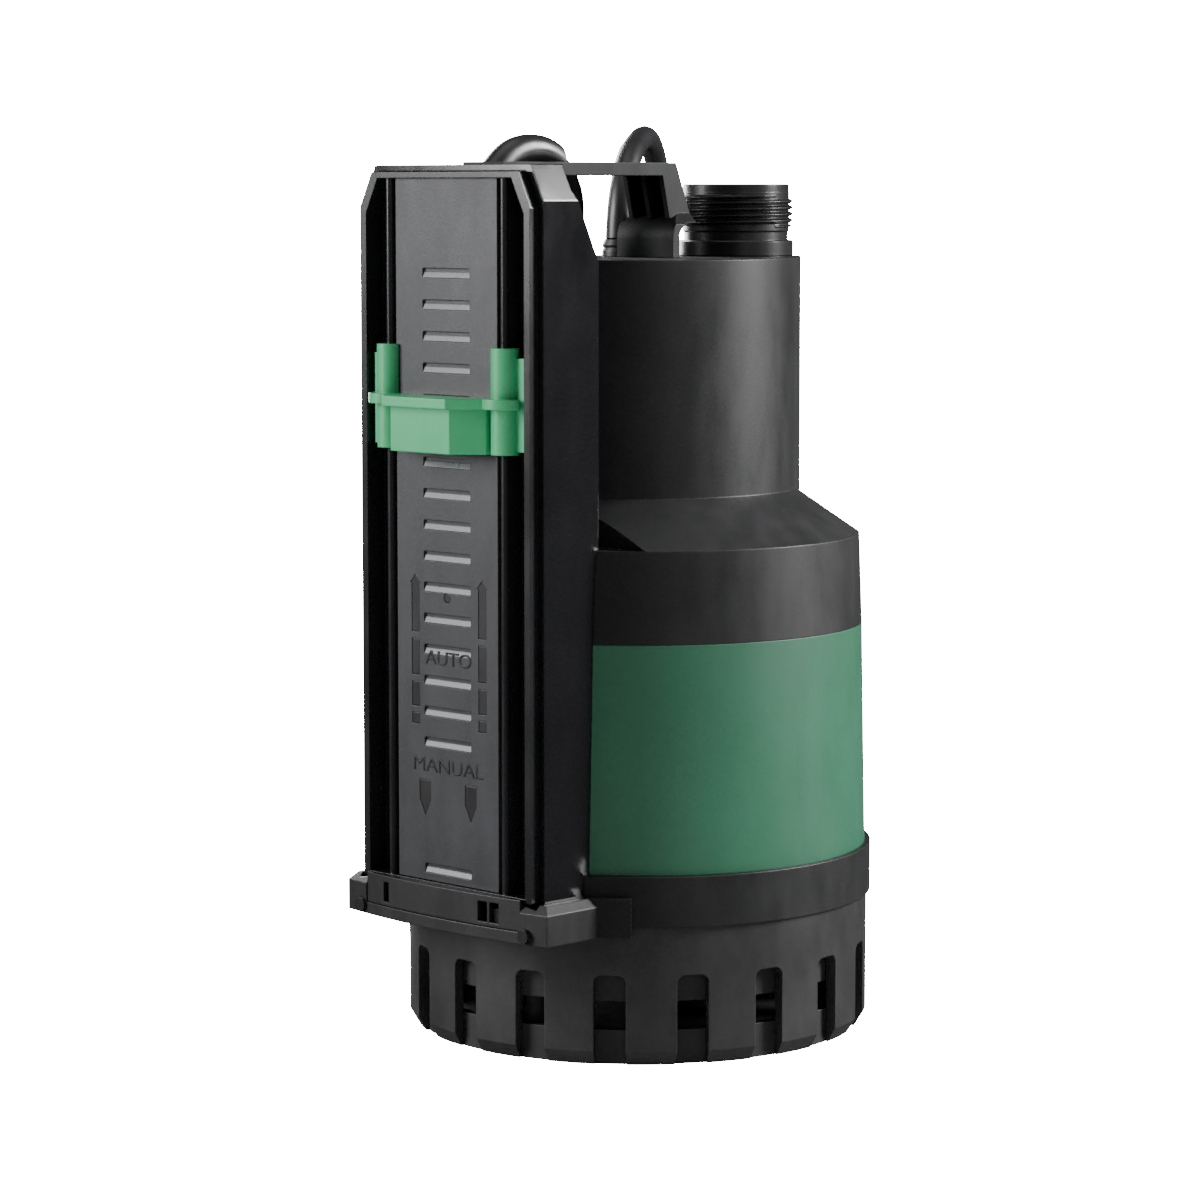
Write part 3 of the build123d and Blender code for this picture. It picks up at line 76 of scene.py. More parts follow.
# ---------------------------------------------------------------- materials
class Board:
    """A material's node tree, filled one node at a time."""

    def __init__(self, name: str) -> None:
        """Start a material whose shader is still plain.

        Args:
            name: The material's name.
        """
        self.material = bpy.data.materials.new(name)
        self.material.use_nodes = True
        self.tree = self.material.node_tree
        self.shader = self.tree.nodes["Principled BSDF"]
        self.place = self.add("ShaderNodeTexCoord").outputs["Object"]

    def add(self, kind: str, **settings: object) -> bpy.types.Node:
        """Add a node.

        Args:
            kind: Blender's name for the node's type.
            **settings: Properties to set on it.

        Returns:
            The new node.
        """
        node = self.tree.nodes.new(kind)
        for name, value in settings.items():
            setattr(node, name, value)
        return node

    def link(self, source: bpy.types.NodeSocket, target: bpy.types.NodeSocket) -> None:
        """Join an output to an input."""
        self.tree.links.new(source, target)

    def noise(
        self, size_mm: float, detail: float = 3.0, stretch: Sequence[float] = (1, 1, 1)
    ) -> bpy.types.NodeSocket:
        """Add noise in the object's own coordinates.

        Args:
            size_mm: The size of one blotch.
            detail: How many finer layers it has.
            stretch: How the pattern's scale differs along X, Y and Z.

        Returns:
            The noise's value, about 0.5 on average.
        """
        mapping = self.add("ShaderNodeMapping")
        mapping.inputs["Scale"].default_value = stretch
        self.link(self.place, mapping.inputs["Vector"])
        noise = self.add("ShaderNodeTexNoise")
        noise.inputs["Scale"].default_value = 1 / (size_mm * MM)
        noise.inputs["Detail"].default_value = detail
        self.link(mapping.outputs["Vector"], noise.inputs["Vector"])
        return noise.outputs["Fac"]

    def ranged(
        self, source: bpy.types.NodeSocket, span: Sequence[float], low: float, high: float
    ) -> bpy.types.NodeSocket:
        """Map a value from one range to another.

        Args:
            source: The value.
            span: The two source values that become low and high.
            low: The result at the first of them.
            high: The result at the second.

        Returns:
            The mapped value.
        """
        node = self.add("ShaderNodeMapRange")
        node.inputs["From Min"].default_value = span[0]
        node.inputs["From Max"].default_value = span[1]
        node.inputs["To Min"].default_value = low
        node.inputs["To Max"].default_value = high
        self.link(source, node.inputs["Value"])
        return node.outputs["Result"]

    def mixed(
        self, share: bpy.types.NodeSocket, first: object, second: Sequence[float]
    ) -> bpy.types.NodeSocket:
        """Mix two colours.

        Args:
            share: How much of the second colour shows.
            first: A colour, or a socket that gives one.
            second: A colour.

        Returns:
            The mixed colour.
        """
        node = self.add("ShaderNodeMix", data_type="RGBA")
        self.link(share, node.inputs["Factor"])
        if isinstance(first, bpy.types.NodeSocket):
            self.link(first, node.inputs["A"])
        else:
            node.inputs["A"].default_value = (*first, 1)
        node.inputs["B"].default_value = (*second, 1)
        return node.outputs["Result"]

    def edges(self, radius_mm: float) -> tuple[bpy.types.NodeSocket, bpy.types.NodeSocket]:
        """Round the shading of sharp edges.

        Args:
            radius_mm: How far the rounding reaches.

        Returns:
            The rounded normal, and a mask that rises at the edges.
        """
        bevel = self.add("ShaderNodeBevel", samples=6)
        bevel.inputs["Radius"].default_value = radius_mm * MM
        flat = self.add("ShaderNodeNewGeometry")
        dot = self.add("ShaderNodeVectorMath", operation="DOT_PRODUCT")
        self.link(bevel.outputs["Normal"], dot.inputs[0])
        self.link(flat.outputs["Normal"], dot.inputs[1])
        mask = self.ranged(dot.outputs["Value"], (0.995, 0.85), 0.0, 1.0)
        return bevel.outputs["Normal"], mask

    def bump(
        self,
        height: bpy.types.NodeSocket,
        depth_mm: float,
        strength: float,
        normal: bpy.types.NodeSocket,
    ) -> bpy.types.NodeSocket:
        """Raise a surface by a height map.

        Args:
            height: The height, from 0 to 1.
            depth_mm: What a height of 1 stands for.
            strength: How much of it shows.
            normal: The normal that it starts from.

        Returns:
            The bumped normal.
        """
        node = self.add("ShaderNodeBump")
        node.inputs["Strength"].default_value = strength
        node.inputs["Distance"].default_value = depth_mm * MM
        self.link(height, node.inputs["Height"])
        self.link(normal, node.inputs["Normal"])
        return node.outputs["Normal"]


@dataclass(frozen=True)
class Moulded:
    """A moulded plastic or rubber surface with its spark-eroded grain, and edges painted lighter,
    partly as wear and partly as a painted highlight.
    """

    name: str
    colour: tuple[float, float, float]
    roughness: float
    grain_mm: float = 0.35
    grain_depth_mm: float = 0.04
    grain_strength: float = 0.5
    mottle_mm: float = 28.0
    mottle: float = 0.16
    rough_spread: float = 0.06
    edge_mm: float = 0.5
    edge_wear_and_highlight_gain: float = 1.6
    specular: float = 0.5
    worn_and_lit_lift: float = 0.004
    wear_and_highlight_detail: float = 9
    smear_detail: float = 3
    smear_stretch: tuple[float, float, float] = (1.0, 1.0, 0.35)

    def build(self) -> bpy.types.Material:
        """Return the finished material."""
        board = Board(self.name)
        cloud = board.ranged(board.noise(self.mottle_mm, 5.0), NOISE_CORE, 0.0, 1.0)
        dark = tuple(c * (1 - self.mottle) for c in self.colour)
        light = tuple(c * (1 + self.mottle) for c in self.colour)
        # Edges are painted lighter: partly wear, partly a painted highlight of the light that sharp
        # edges catch.
        worn_and_lit = tuple(min(c * self.edge_wear_and_highlight_gain + self.worn_and_lit_lift, 1.0) for c in self.colour)
        rounded, edge = board.edges(self.edge_mm)
        patchy = board.noise(self.mottle_mm / self.wear_and_highlight_detail, 3.0)
        wear_and_highlight = board.add("ShaderNodeMath", operation="MULTIPLY")
        board.link(edge, wear_and_highlight.inputs[0])
        board.link(patchy, wear_and_highlight.inputs[1])
        colour = board.mixed(cloud, dark, light)
        colour = board.mixed(wear_and_highlight.outputs["Value"], colour, worn_and_lit)
        board.link(colour, board.shader.inputs["Base Color"])
        smear = board.noise(self.mottle_mm / self.smear_detail, 4.0, self.smear_stretch)
        low, high = self.roughness - self.rough_spread, self.roughness + self.rough_spread
        board.link(board.ranged(smear, NOISE_CORE, low, high), board.shader.inputs["Roughness"])
        grain = board.noise(self.grain_mm, 2.0)
        normal = board.bump(grain, self.grain_depth_mm, self.grain_strength, rounded)
        board.link(normal, board.shader.inputs["Normal"])
        board.shader.inputs["Specular IOR Level"].default_value = self.specular
        return board.material


@dataclass(frozen=True)
class Turned:
    """A metal surface with the fine marks of turning or drawing."""

    name: str
    colour: tuple[float, float, float]
    roughness: float
    mark_mm: float = 0.5
    stretch: tuple[float, float, float] = (0.06, 0.06, 1.0)
    edge_mm: float = 0.25
    stain_scale: float = 30
    dulling: float = 0.72
    rough_span: tuple[float, float] = (0.75, 1.3)
    mark_depth_mm: float = 0.02
    mark_strength: float = 0.4

    def build(self) -> bpy.types.Material:
        """Return the finished material."""
        board = Board(self.name)
        marks = board.noise(self.mark_mm, 4.0, self.stretch)
        stain = board.noise(self.mark_mm * self.stain_scale, 4.0)
        dull = tuple(c * self.dulling for c in self.colour)
        shade = board.ranged(stain, (0.35, 0.7), 0.0, 1.0)
        board.link(board.mixed(shade, dull, self.colour), board.shader.inputs["Base Color"])
        low, high = (self.roughness * share for share in self.rough_span)
        rough = board.ranged(marks, NOISE_CORE, low, high)
        board.link(rough, board.shader.inputs["Roughness"])
        rounded, _ = board.edges(self.edge_mm)
        normal = board.bump(marks, self.mark_depth_mm, self.mark_strength, rounded)
        board.link(normal, board.shader.inputs["Normal"])
        board.shader.inputs["Metallic"].default_value = 1.0
        return board.material


@dataclass(frozen=True)
class Banded:
    """A surface of fine bands, such as stacked sheets or wound wire."""

    name: str
    colour: tuple[float, float, float]
    gap_colour: tuple[float, float, float]
    roughness: float
    metallic: float
    band_mm: float
    direction: str = "Z"
    wave_scale: float = 0.314
    distortion: float = 0.4
    blotch_mm: float = 6.0
    rough_span: tuple[float, float] = (0.8, 1.2)
    edge_mm: float = 0.25
    ridge_share: float = 0.4
    ridge_strength: float = 0.6

    def build(self) -> bpy.types.Material:
        """Return the finished material."""
        board = Board(self.name)
        wave = board.add("ShaderNodeTexWave", bands_direction=self.direction, wave_profile="SIN")
        wave.inputs["Scale"].default_value = self.wave_scale / (self.band_mm * MM)
        wave.inputs["Distortion"].default_value = self.distortion
        board.link(board.place, wave.inputs["Vector"])
        band = wave.outputs["Fac"]
        share = board.ranged(band, (0.1, 0.6), 0.0, 1.0)
        board.link(board.mixed(share, self.gap_colour, self.colour), board.shader.inputs["Base Color"])
        low, high = (self.roughness * part for part in self.rough_span)
        rough = board.ranged(board.noise(self.blotch_mm), NOISE_CORE, low, high)
        board.link(rough, board.shader.inputs["Roughness"])
        rounded, _ = board.edges(self.edge_mm)
        normal = board.bump(band, self.band_mm * self.ridge_share, self.ridge_strength, rounded)
        board.link(normal, board.shader.inputs["Normal"])
        board.shader.inputs["Metallic"].default_value = self.metallic
        return board.material


class Look(Enum):
    """Every finish on the pump."""

    CASING = Moulded("casing_black", (0.0085, 0.0087, 0.0093), 0.46, mottle=0.3, grain_strength=0.7)
    STRAINER = Moulded("strainer_black", (0.020, 0.020, 0.0208), 0.44, mottle=0.35, grain_strength=0.8)
    SLEEVE = Moulded(
        "sleeve_green", (0.0135, 0.098, 0.049), 0.50, mottle=0.07, mottle_mm=45, grain_mm=0.5,
        edge_wear_and_highlight_gain=1.3,
    )
    SLIDER = Moulded(
        "slider_green", (0.032, 0.31, 0.125), 0.36, mottle=0.05, grain_mm=0.9, grain_strength=0.25,
        edge_wear_and_highlight_gain=1.25, edge_mm=0.7,
    )
    HOUSING = Moulded(
        "housing_gloss", (0.0052, 0.0053, 0.0062), 0.13, grain_mm=2.4, grain_depth_mm=0.02,
        grain_strength=0.18, mottle=0.2, rough_spread=0.03, edge_mm=0.6, edge_wear_and_highlight_gain=2.0,
    )
    BEZEL = Moulded(
        "bezel_satin", (0.0068, 0.007, 0.008), 0.27, grain_mm=0.8, grain_strength=0.12, mottle=0.2,
        edge_mm=0.4, edge_wear_and_highlight_gain=1.4,
    )
    PANEL = Moulded(
        "panel_grain", (0.021, 0.022, 0.025), 0.42, grain_mm=0.30, grain_depth_mm=0.05,
        grain_strength=0.9, mottle=0.14, edge_mm=0.35, edge_wear_and_highlight_gain=2.0,
    )
    # Pale grey: a painted highlight of the light that the slots' lower lips catch; the slope itself is
    # real shape.
    STEP_HIGHLIGHT = Moulded(
        "scale_step_painted_highlight", (0.105, 0.108, 0.112), 0.3, grain_mm=0.3, grain_strength=0.3, mottle=0.05,
    )
    HANDLE = Moulded(
        "handle_black", (0.007, 0.007, 0.008), 0.5, grain_strength=0.4, mottle=0.25, specular=0.2,
    )
    OUTLET = Moulded("outlet_black", (0.009, 0.009, 0.0098), 0.33, grain_strength=0.35, edge_mm=0.2)
    INNER = Moulded("inner_black", (0.014, 0.014, 0.0145), 0.6, mottle=0.3)
    IMPELLER = Moulded("impeller_resin", (0.04, 0.04, 0.044), 0.42, mottle=0.15)
    CORD = Moulded(
        "cord_sheath", (0.0095, 0.0095, 0.0105), 0.34, grain_mm=0.5, grain_strength=0.35, mottle=0.25,
        edge_wear_and_highlight_gain=1.0, specular=0.55,
    )
    SEAL = Moulded("seal_rubber", (0.0085, 0.0085, 0.009), 0.55, edge_wear_and_highlight_gain=1.2)
    GLAND = Moulded("gland_rubber", (0.009, 0.009, 0.0095), 0.4, grain_strength=0.3)
    # Near black, for the lettering and for the mark sheets, which paint the shade of the scale's
    # recesses.
    LETTER_AND_SHADE = Moulded("letter_black_and_painted_shade", (0.004, 0.004, 0.0045), 0.4, edge_wear_and_highlight_gain=1.0)
    CERAMIC = Moulded("seal_ceramic", (0.62, 0.6, 0.55), 0.25, mottle=0.05, edge_wear_and_highlight_gain=1.05)
    CAPACITOR = Moulded("capacitor_case", (0.42, 0.43, 0.45), 0.35, mottle=0.06, edge_wear_and_highlight_gain=1.1)
    BOARD = Moulded("circuit_board", (0.01, 0.1, 0.035), 0.3, grain_mm=1.5, mottle=0.2)
    STEEL = Turned("stainless_steel", (0.55, 0.55, 0.56), 0.28)
    ALLOY = Turned("cast_alloy", (0.5, 0.5, 0.52), 0.5, mark_mm=1.2, stretch=(1, 1, 1))
    BRASS = Turned("contact_brass", (0.78, 0.6, 0.3), 0.22, stretch=(1, 1, 0.1))
    MAGNET = Turned("magnet_ferrite", (0.16, 0.16, 0.17), 0.45, stretch=(1, 1, 1))
    LAMINATIONS = Banded("iron_laminations", (0.32, 0.32, 0.33), (0.05, 0.05, 0.05), 0.4, 1.0, 0.5)
    WINDING = Banded("copper_winding", (0.75, 0.3, 0.12), (0.16, 0.05, 0.02), 0.35, 1.0, 0.8)


LOOK_OF_NODES: dict[Look, tuple[str, ...]] = {
    Look.CASING: ("upper_casing", "band_bracket", "tray_cover"),
    Look.STRAINER: ("strainer",),
    Look.SLEEVE: ("casing_sleeve",),
    Look.SLIDER: ("slider",),
    Look.HOUSING: ("sensor_housing",),
    Look.BEZEL: ("sensor_bezel",),
    Look.PANEL: ("scale_panel",),
    Look.HANDLE: ("handle",),
    Look.OUTLET: ("threaded_outlet", "bracket_screws"),
    Look.INNER: (
        "base_plate", "suction_cover", "diffuser", "oil_housing", "motor_head", "terminal_block",
    ),
    Look.IMPELLER: ("impeller",),
    Look.CORD: (
        "mains_cord", "cord_coil", "cord_tail", "mains_boot", "plug_body", "sensor_lead", "lead_sleeve",
    ),
    Look.SEAL: ("flange_o_ring", "casing_o_ring", "wear_ring", "shaft_seal", "coil_tie"),
    Look.GLAND: ("mains_gland", "sensor_gland"),
    Look.CERAMIC: ("seal_seat", "seal_ring"),
    Look.CAPACITOR: ("capacitor",),
    Look.BOARD: ("sensor_board",),
    Look.STEEL: (
        "shaft", "impeller_nut", "seal_spring", "motor_can", "tie_screws", "base_screws",
        "handle_screws", "lower_bearing_outer", "upper_bearing_outer", "lower_bearing_inner",
        "upper_bearing_inner", "lower_bearing_balls", "upper_bearing_balls",
    ),
    Look.ALLOY: ("lower_bearing_bracket", "upper_bearing_bracket"),
    Look.BRASS: ("plug_pins",),
    Look.MAGNET: ("slider_magnets",),
    Look.LAMINATIONS: ("stator_core", "rotor_core"),
    Look.WINDING: ("stator_windings",),
}


class Wardrobe:
    """The finished materials, each made once."""

    def __init__(self) -> None:
        """Make every material."""
        self.made = {look: look.value.build() for look in Look}

    def dress(self, piece: bpy.types.Object, look: Look) -> None:
        """Give a piece one finish all over.

        Args:
            piece: A mesh or curve object.
            look: The finish.
        """
        piece.data.materials.clear()
        piece.data.materials.append(self.made[look])

    def dress_frame(self) -> None:
        """Give every node of the frame its finish."""
        for look, names in LOOK_OF_NODES.items():
            for name in names:
                self.dress(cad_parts[name], look)
        bare = set(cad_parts) - {n for names in LOOK_OF_NODES.values() for n in names}
        log.info("dressed %d nodes, bare: %s", len(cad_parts) - len(bare), sorted(bare))


# ---------------------------------------------------------------- mesh helpers
def finished(name: str, shape: bmesh.types.BMesh, smooth: bool = True) -> bpy.types.Object:
    """Turn a bmesh into an object at the origin.

    Args:
        name: The piece's name.
        shape: The mesh, in metres in the frame's axes. It is freed.
        smooth: Whether its faces are shaded smooth.

    Returns:
        The new object.
    """
    bmesh.ops.remove_doubles(shape, verts=shape.verts, dist=1e-6)
    bmesh.ops.recalc_face_normals(shape, faces=shape.faces)
    for face in shape.faces:
        face.smooth = smooth
    mesh = bpy.data.meshes.new(name)
    shape.to_mesh(mesh)
    shape.free()
    piece = bpy.data.objects.new(name, mesh)
    bpy.context.scene.collection.objects.link(piece)
    return piece


def lathe(
    shape: bmesh.types.BMesh, outline: Sequence[Sequence[float]], place: Matrix, steps: int = 96
) -> None:
    """Turn an outline of radius and height, in millimetres, about the Z axis of a place.

    Args:
        shape: The mesh that gets the turned faces.
        outline: Radius and height of each point.
        place: Where the turning axis stands.
        steps: Facets round a full turn.
    """
    known = set(shape.verts)
    points = [shape.verts.new((r * MM, 0, z * MM)) for r, z in outline]
    edges = [shape.edges.new(pair) for pair in zip(points, points[1:])]
    bmesh.ops.spin(
        shape, geom=points + edges, cent=(0, 0, 0), axis=(0, 0, 1), angle=math.tau, steps=steps,
        use_merge=True,
    )
    made = [v for v in shape.verts if v not in known]
    bmesh.ops.transform(shape, matrix=place, verts=made)


def crease_smooth(piece: bpy.types.Object, degrees: float = 35.0) -> None:
    """Keep edges sharper than an angle crisp in the shading.

    Args:
        piece: A mesh object.
        degrees: The angle.
    """
    shape = bmesh.new()
    shape.from_mesh(piece.data)
    for edge in shape.edges:
        edge.smooth = len(edge.link_faces) == 2 and edge.calc_face_angle(0.0) < math.radians(degrees)
    shape.to_mesh(piece.data)
    shape.free()


# ---------------------------------------------------------------- studio
@dataclass
class Softbox:
    """One area light, aimed at the pump."""

    name: str
    place: tuple[float, float, float]
    size: tuple[float, float]
    watts: float

    def build(self, target: Vector) -> None:
        """Hang the light.

        Args:
            target: The point that it faces.
        """
        data = bpy.data.lights.new(self.name, "AREA")
        data.shape = "RECTANGLE"
        data.size, data.size_y = self.size
        data.energy = self.watts
        lamp = bpy.data.objects.new(self.name, data)
        lamp.location = self.place
        lamp.rotation_mode = "QUATERNION"
        lamp.rotation_quaternion = (target - lamp.location).to_track_quat("-Z", "Y")
        bpy.context.scene.collection.objects.link(lamp)


@dataclass
class Studio:
    """The camera, the pale floor and the soft light."""

    camera_place: tuple[float, float, float] = (0.9442, -0.9635, 0.2990)
    camera_look: tuple[float, float, float] = (-0.7030, 0.7030, -0.1082)
    lens_mm: float = 112.9
    sensor_mm: float = 36.0
    floor_half: float = 4.0
    floor_colour: tuple[float, float, float] = (0.86, 0.86, 0.86)
    floor_blotch_mm: float = 900.0
    floor_dimming: float = 0.985
    floor_roughness: float = 0.9
    floor_specular: float = 0.1
    floor_glow: float = 40.0
    sky_seen: float = 60.0
    sky_light: float = 0.10
    softboxes: tuple[Softbox, ...] = (
        Softbox("front_left_box", (-0.95, -1.45, 0.85), (0.8, 1.2), 50.0),
        Softbox("front_right_box", (1.75, -0.95, 0.95), (0.5, 0.9), 3.0),
        Softbox("rear_right_box", (1.15, 1.15, 0.95), (0.45, 0.9), 85.0),
        Softbox("rear_left_box", (-1.5, 0.5, 0.6), (0.5, 1.0), 34.0),
        Softbox("top_box", (0.0, 0.0, 1.7), (1.0, 1.0), 4.0),
    )

    def build(self) -> None:
        """Set up the camera, floor, sky and lights."""
        self.set_camera()
        self.lay_floor()
        self.light_sky()
        middle = (CAD_BOX[0] + CAD_BOX[1]) / 2
        for box in self.softboxes:
            box.build(Vector((0, 0, middle.z)))
        log.info("studio: %d softboxes", len(self.softboxes))

    def set_camera(self) -> None:
        """Put the camera in front of the sensor's right corner, a little above the middle."""
        data = bpy.data.cameras.new("camera")
        data.lens = self.lens_mm
        data.sensor_width = self.sensor_mm
        camera = bpy.data.objects.new("camera", data)
        camera.location = self.camera_place
        camera.rotation_mode = "QUATERNION"
        camera.rotation_quaternion = Vector(self.camera_look).to_track_quat("-Z", "Y")
        bpy.context.scene.collection.objects.link(camera)
        bpy.context.scene.camera = camera

    def lay_floor(self) -> None:
        """Lay the pale floor, which is not part of the pump."""
        shape = bmesh.new()
        bmesh.ops.create_grid(shape, x_segments=4, y_segments=4, size=self.floor_half)
        floor = finished("floor", shape, smooth=False)
        board = Board("floor_paint")
        shade = board.ranged(board.noise(self.floor_blotch_mm), NOISE_CORE, 0.0, 1.0)
        dim = tuple(c * self.floor_dimming for c in self.floor_colour)
        board.link(board.mixed(shade, dim, self.floor_colour), board.shader.inputs["Base Color"])
        board.shader.inputs["Roughness"].default_value = self.floor_roughness
        board.shader.inputs["Specular IOR Level"].default_value = self.floor_specular
        board.shader.inputs["Emission Color"].default_value = WHITE
        seen = board.add("ShaderNodeLightPath").outputs["Is Camera Ray"]
        glow = board.ranged(seen, (0, 1), 0.0, self.floor_glow)
        board.link(glow, board.shader.inputs["Emission Strength"])
        floor.data.materials.append(board.material)
        floor.visible_glossy = False

    def light_sky(self) -> None:
        """Light the room evenly, with a white wall behind the pump."""
        world = bpy.data.worlds.new("room")
        world.use_nodes = True
        tree = world.node_tree
        background = tree.nodes["Background"]
        background.inputs["Color"].default_value = WHITE
        path = tree.nodes.new("ShaderNodeLightPath")
        strength = tree.nodes.new("ShaderNodeMapRange")
        strength.inputs["To Min"].default_value = self.sky_light
        strength.inputs["To Max"].default_value = self.sky_seen
        tree.links.new(path.outputs["Is Camera Ray"], strength.inputs["Value"])
        tree.links.new(strength.outputs["Result"], background.inputs["Strength"])
        bpy.context.scene.world = world


# ---------------------------------------------------------------- mains cord
@dataclass
class MainsCord:
    """The mains cord: strain relief, arch, drop to the floor, wound coil and run to the plug."""

    radius: float = 4.3
    length: float = 5.0
    gland_at: tuple[float, float, float] = (-20.0, 11.0, 281.5)
    arch_dir: tuple[float, float] = (-0.551, 0.834)
    relief_bend: float = 34.0
    relief_turn_deg: float = 70.0
    relief_radii: tuple[float, float] = (5.4, 4.6)
    relief_steps: int = 8
    relief_fineness: int = 6
    cord_fineness: int = 5
    route: tuple[tuple[float, float, float], ...] = (
        (-42.7, 45.4, 320.3),
        (-54.7, 63.5, 316.5),
        (-64.3, 78.1, 300.1),
        (-69.4, 85.8, 265.3),
        (-75.0, 84.9, 213.0),
        (-77.5, 77.0, 155.0),
        (-77.5, 66.5, 98.0),
        (-72.0, 58.0, 62.0),
        (-57.0, 67.8, 40.0),
        (-44.7, 95.5, 24.0),
        (-46.8, 125.8, 11.0),
        (-63.3, 151.0, 4.3),
        (-91.0, 160.2, 4.3),
        (-117.5, 158.6, 4.3),
    )
    tail: tuple[tuple[float, float, float], ...] = (
        (-73.2, 66.9, 47.3),
        (-55.9, 80.6, 49.0),
        (-47.2, 98.5, 53.5),
        (-47.9, 118.5, 60.2),
        (-57.8, 135.7, 66.6),
        (-74.8, 146.3, 70.1),
        (-94.7, 148.0, 70.1),
    )
    coil_at: tuple[float, float] = (-106.4, 106.4)
    coil_mid: float = 43.0
    columns: int = 3
    full_rows: int = 5
    join_deg: float = 102.0
    leave_deg: float = 310.0
    shift_deg: float = 30.0
    shift_span_deg: float = 120.0
    swerve: float = 0.38
    hump: float = 8.0
    steps_per_turn: int = 24

    def relief_point(self, share: float) -> Vector:
        """Find a point of the strain relief's arc.

        Args:
            share: 0 at the gland, 1 where the cord leaves.

        Returns:
            The point, in millimetres.
        """
        turn = math.radians(self.relief_turn_deg * share)
        reach = self.relief_bend * (1 - math.cos(turn))
        x, y, z = self.gland_at
        rise = self.relief_bend * math.sin(turn)
        return Vector((x + self.arch_dir[0] * reach, y + self.arch_dir[1] * reach, z + rise))

    def slot_of_turn(self, index: int) -> tuple[float, float]:
        """Find the place of one of the coil's turns.

        Args:
            index: The turn, counted along the cord. The last one lies alone on the outer edge.

        Returns:
            The turn's radius and height, in millimetres.
        """
        thick = 2 * self.radius
        row, place = divmod(min(index, self.columns * self.full_rows), self.columns)
        inward = place if row % 2 == 0 or row == self.full_rows else self.columns - 1 - place
        outer = self.coil_mid + (self.columns - 1) * self.radius
        return outer - inward * thick, self.radius + row * thick

    def coil_points(self) -> list[Vector]:
        """Wind the turns, from the outer one on the floor to the outer one on top.

        Returns:
            Points along the cord's middle, in millimetres.
        """
        turns = self.columns * self.full_rows + (self.leave_deg - self.join_deg) / 360
        steps = round(turns * self.steps_per_turn)
        points = []
        for step in range(1, steps):
            degrees = self.join_deg + 360 * turns * step / steps
            passed = (degrees - self.shift_deg) / 360
            index = math.floor(passed)
            share = min((passed - index) * 360 / self.shift_span_deg, 1.0)
            share = share * share * (3 - 2 * share)
            before, after = self.slot_of_turn(max(index - 1, 0)), self.slot_of_turn(index)
            radius = before[0] + (after[0] - before[0]) * share
            height = before[1] + (after[1] - before[1]) * share
            if before[1] != after[1] and before[0] == after[0]:
                side = 1 if before[0] > self.coil_mid else -1
                radius += side * self.swerve * 2 * self.radius * math.sin(math.pi * share)
            elif before[1] != after[1]:
                height += self.hump * math.sin(math.pi * share)
            angle = math.radians(degrees)
            x = self.coil_at[0] + radius * math.cos(angle)
            y = self.coil_at[1] + radius * math.sin(angle)
            points.append(Vector((x, y, height)))
        return points

    def curve(
        self, name: str, points: Iterable[Sequence[float]], radii: Sequence[float], fineness: int
    ) -> bpy.types.Object:
        """Make a round cord along one smooth curve.

        Args:
            name: The piece's name.
            points: The curve's control points, in millimetres.
            radii: The radius at each point, in millimetres.
            fineness: Steps between control points.

        Returns:
            The curve object.
        """
        places = [Vector(p) * MM for p in points]
        data = bpy.data.curves.new(name, "CURVE")
        data.dimensions = "3D"
        data.bevel_depth = 1.0
        data.bevel_resolution = 4
        data.resolution_u = fineness
        data.use_fill_caps = True
        spline = data.splines.new("NURBS")
        spline.points.add(len(places) - 1)
        for point, place, radius in zip(spline.points, places, radii):
            point.co = (*place, 1)
            point.radius = radius * MM
        spline.order_u = 3
        spline.use_endpoint_u = True
        piece = bpy.data.objects.new(name, data)
        bpy.context.scene.collection.objects.link(piece)
        return piece

    def build(self, wardrobe: Wardrobe) -> None:
        """Args:
            wardrobe: The finishes.
        """
        steps = self.relief_steps
        arc = [self.relief_point(i / steps) for i in range(steps + 1)]
        first, last = self.relief_radii
        taper = [first + (last - first) * i / steps for i in range(steps + 1)]
        relief = self.curve("strain_relief", arc, taper, self.relief_fineness)
        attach(relief, "root")
        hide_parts("mains_boot")
        wardrobe.dress(relief, Look.GLAND)

        line = [arc[-1], *map(Vector, self.route), *self.coil_points(), *map(Vector, self.tail)]
        cord = self.curve("mains_cable", line, [self.radius] * len(line), self.cord_fineness)
        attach(cord, "root")
        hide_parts("mains_cord", "cord_coil", "cord_tail")
        wardrobe.dress(cord, Look.CORD)
        log.info("mains cord: %d control points", len(line))


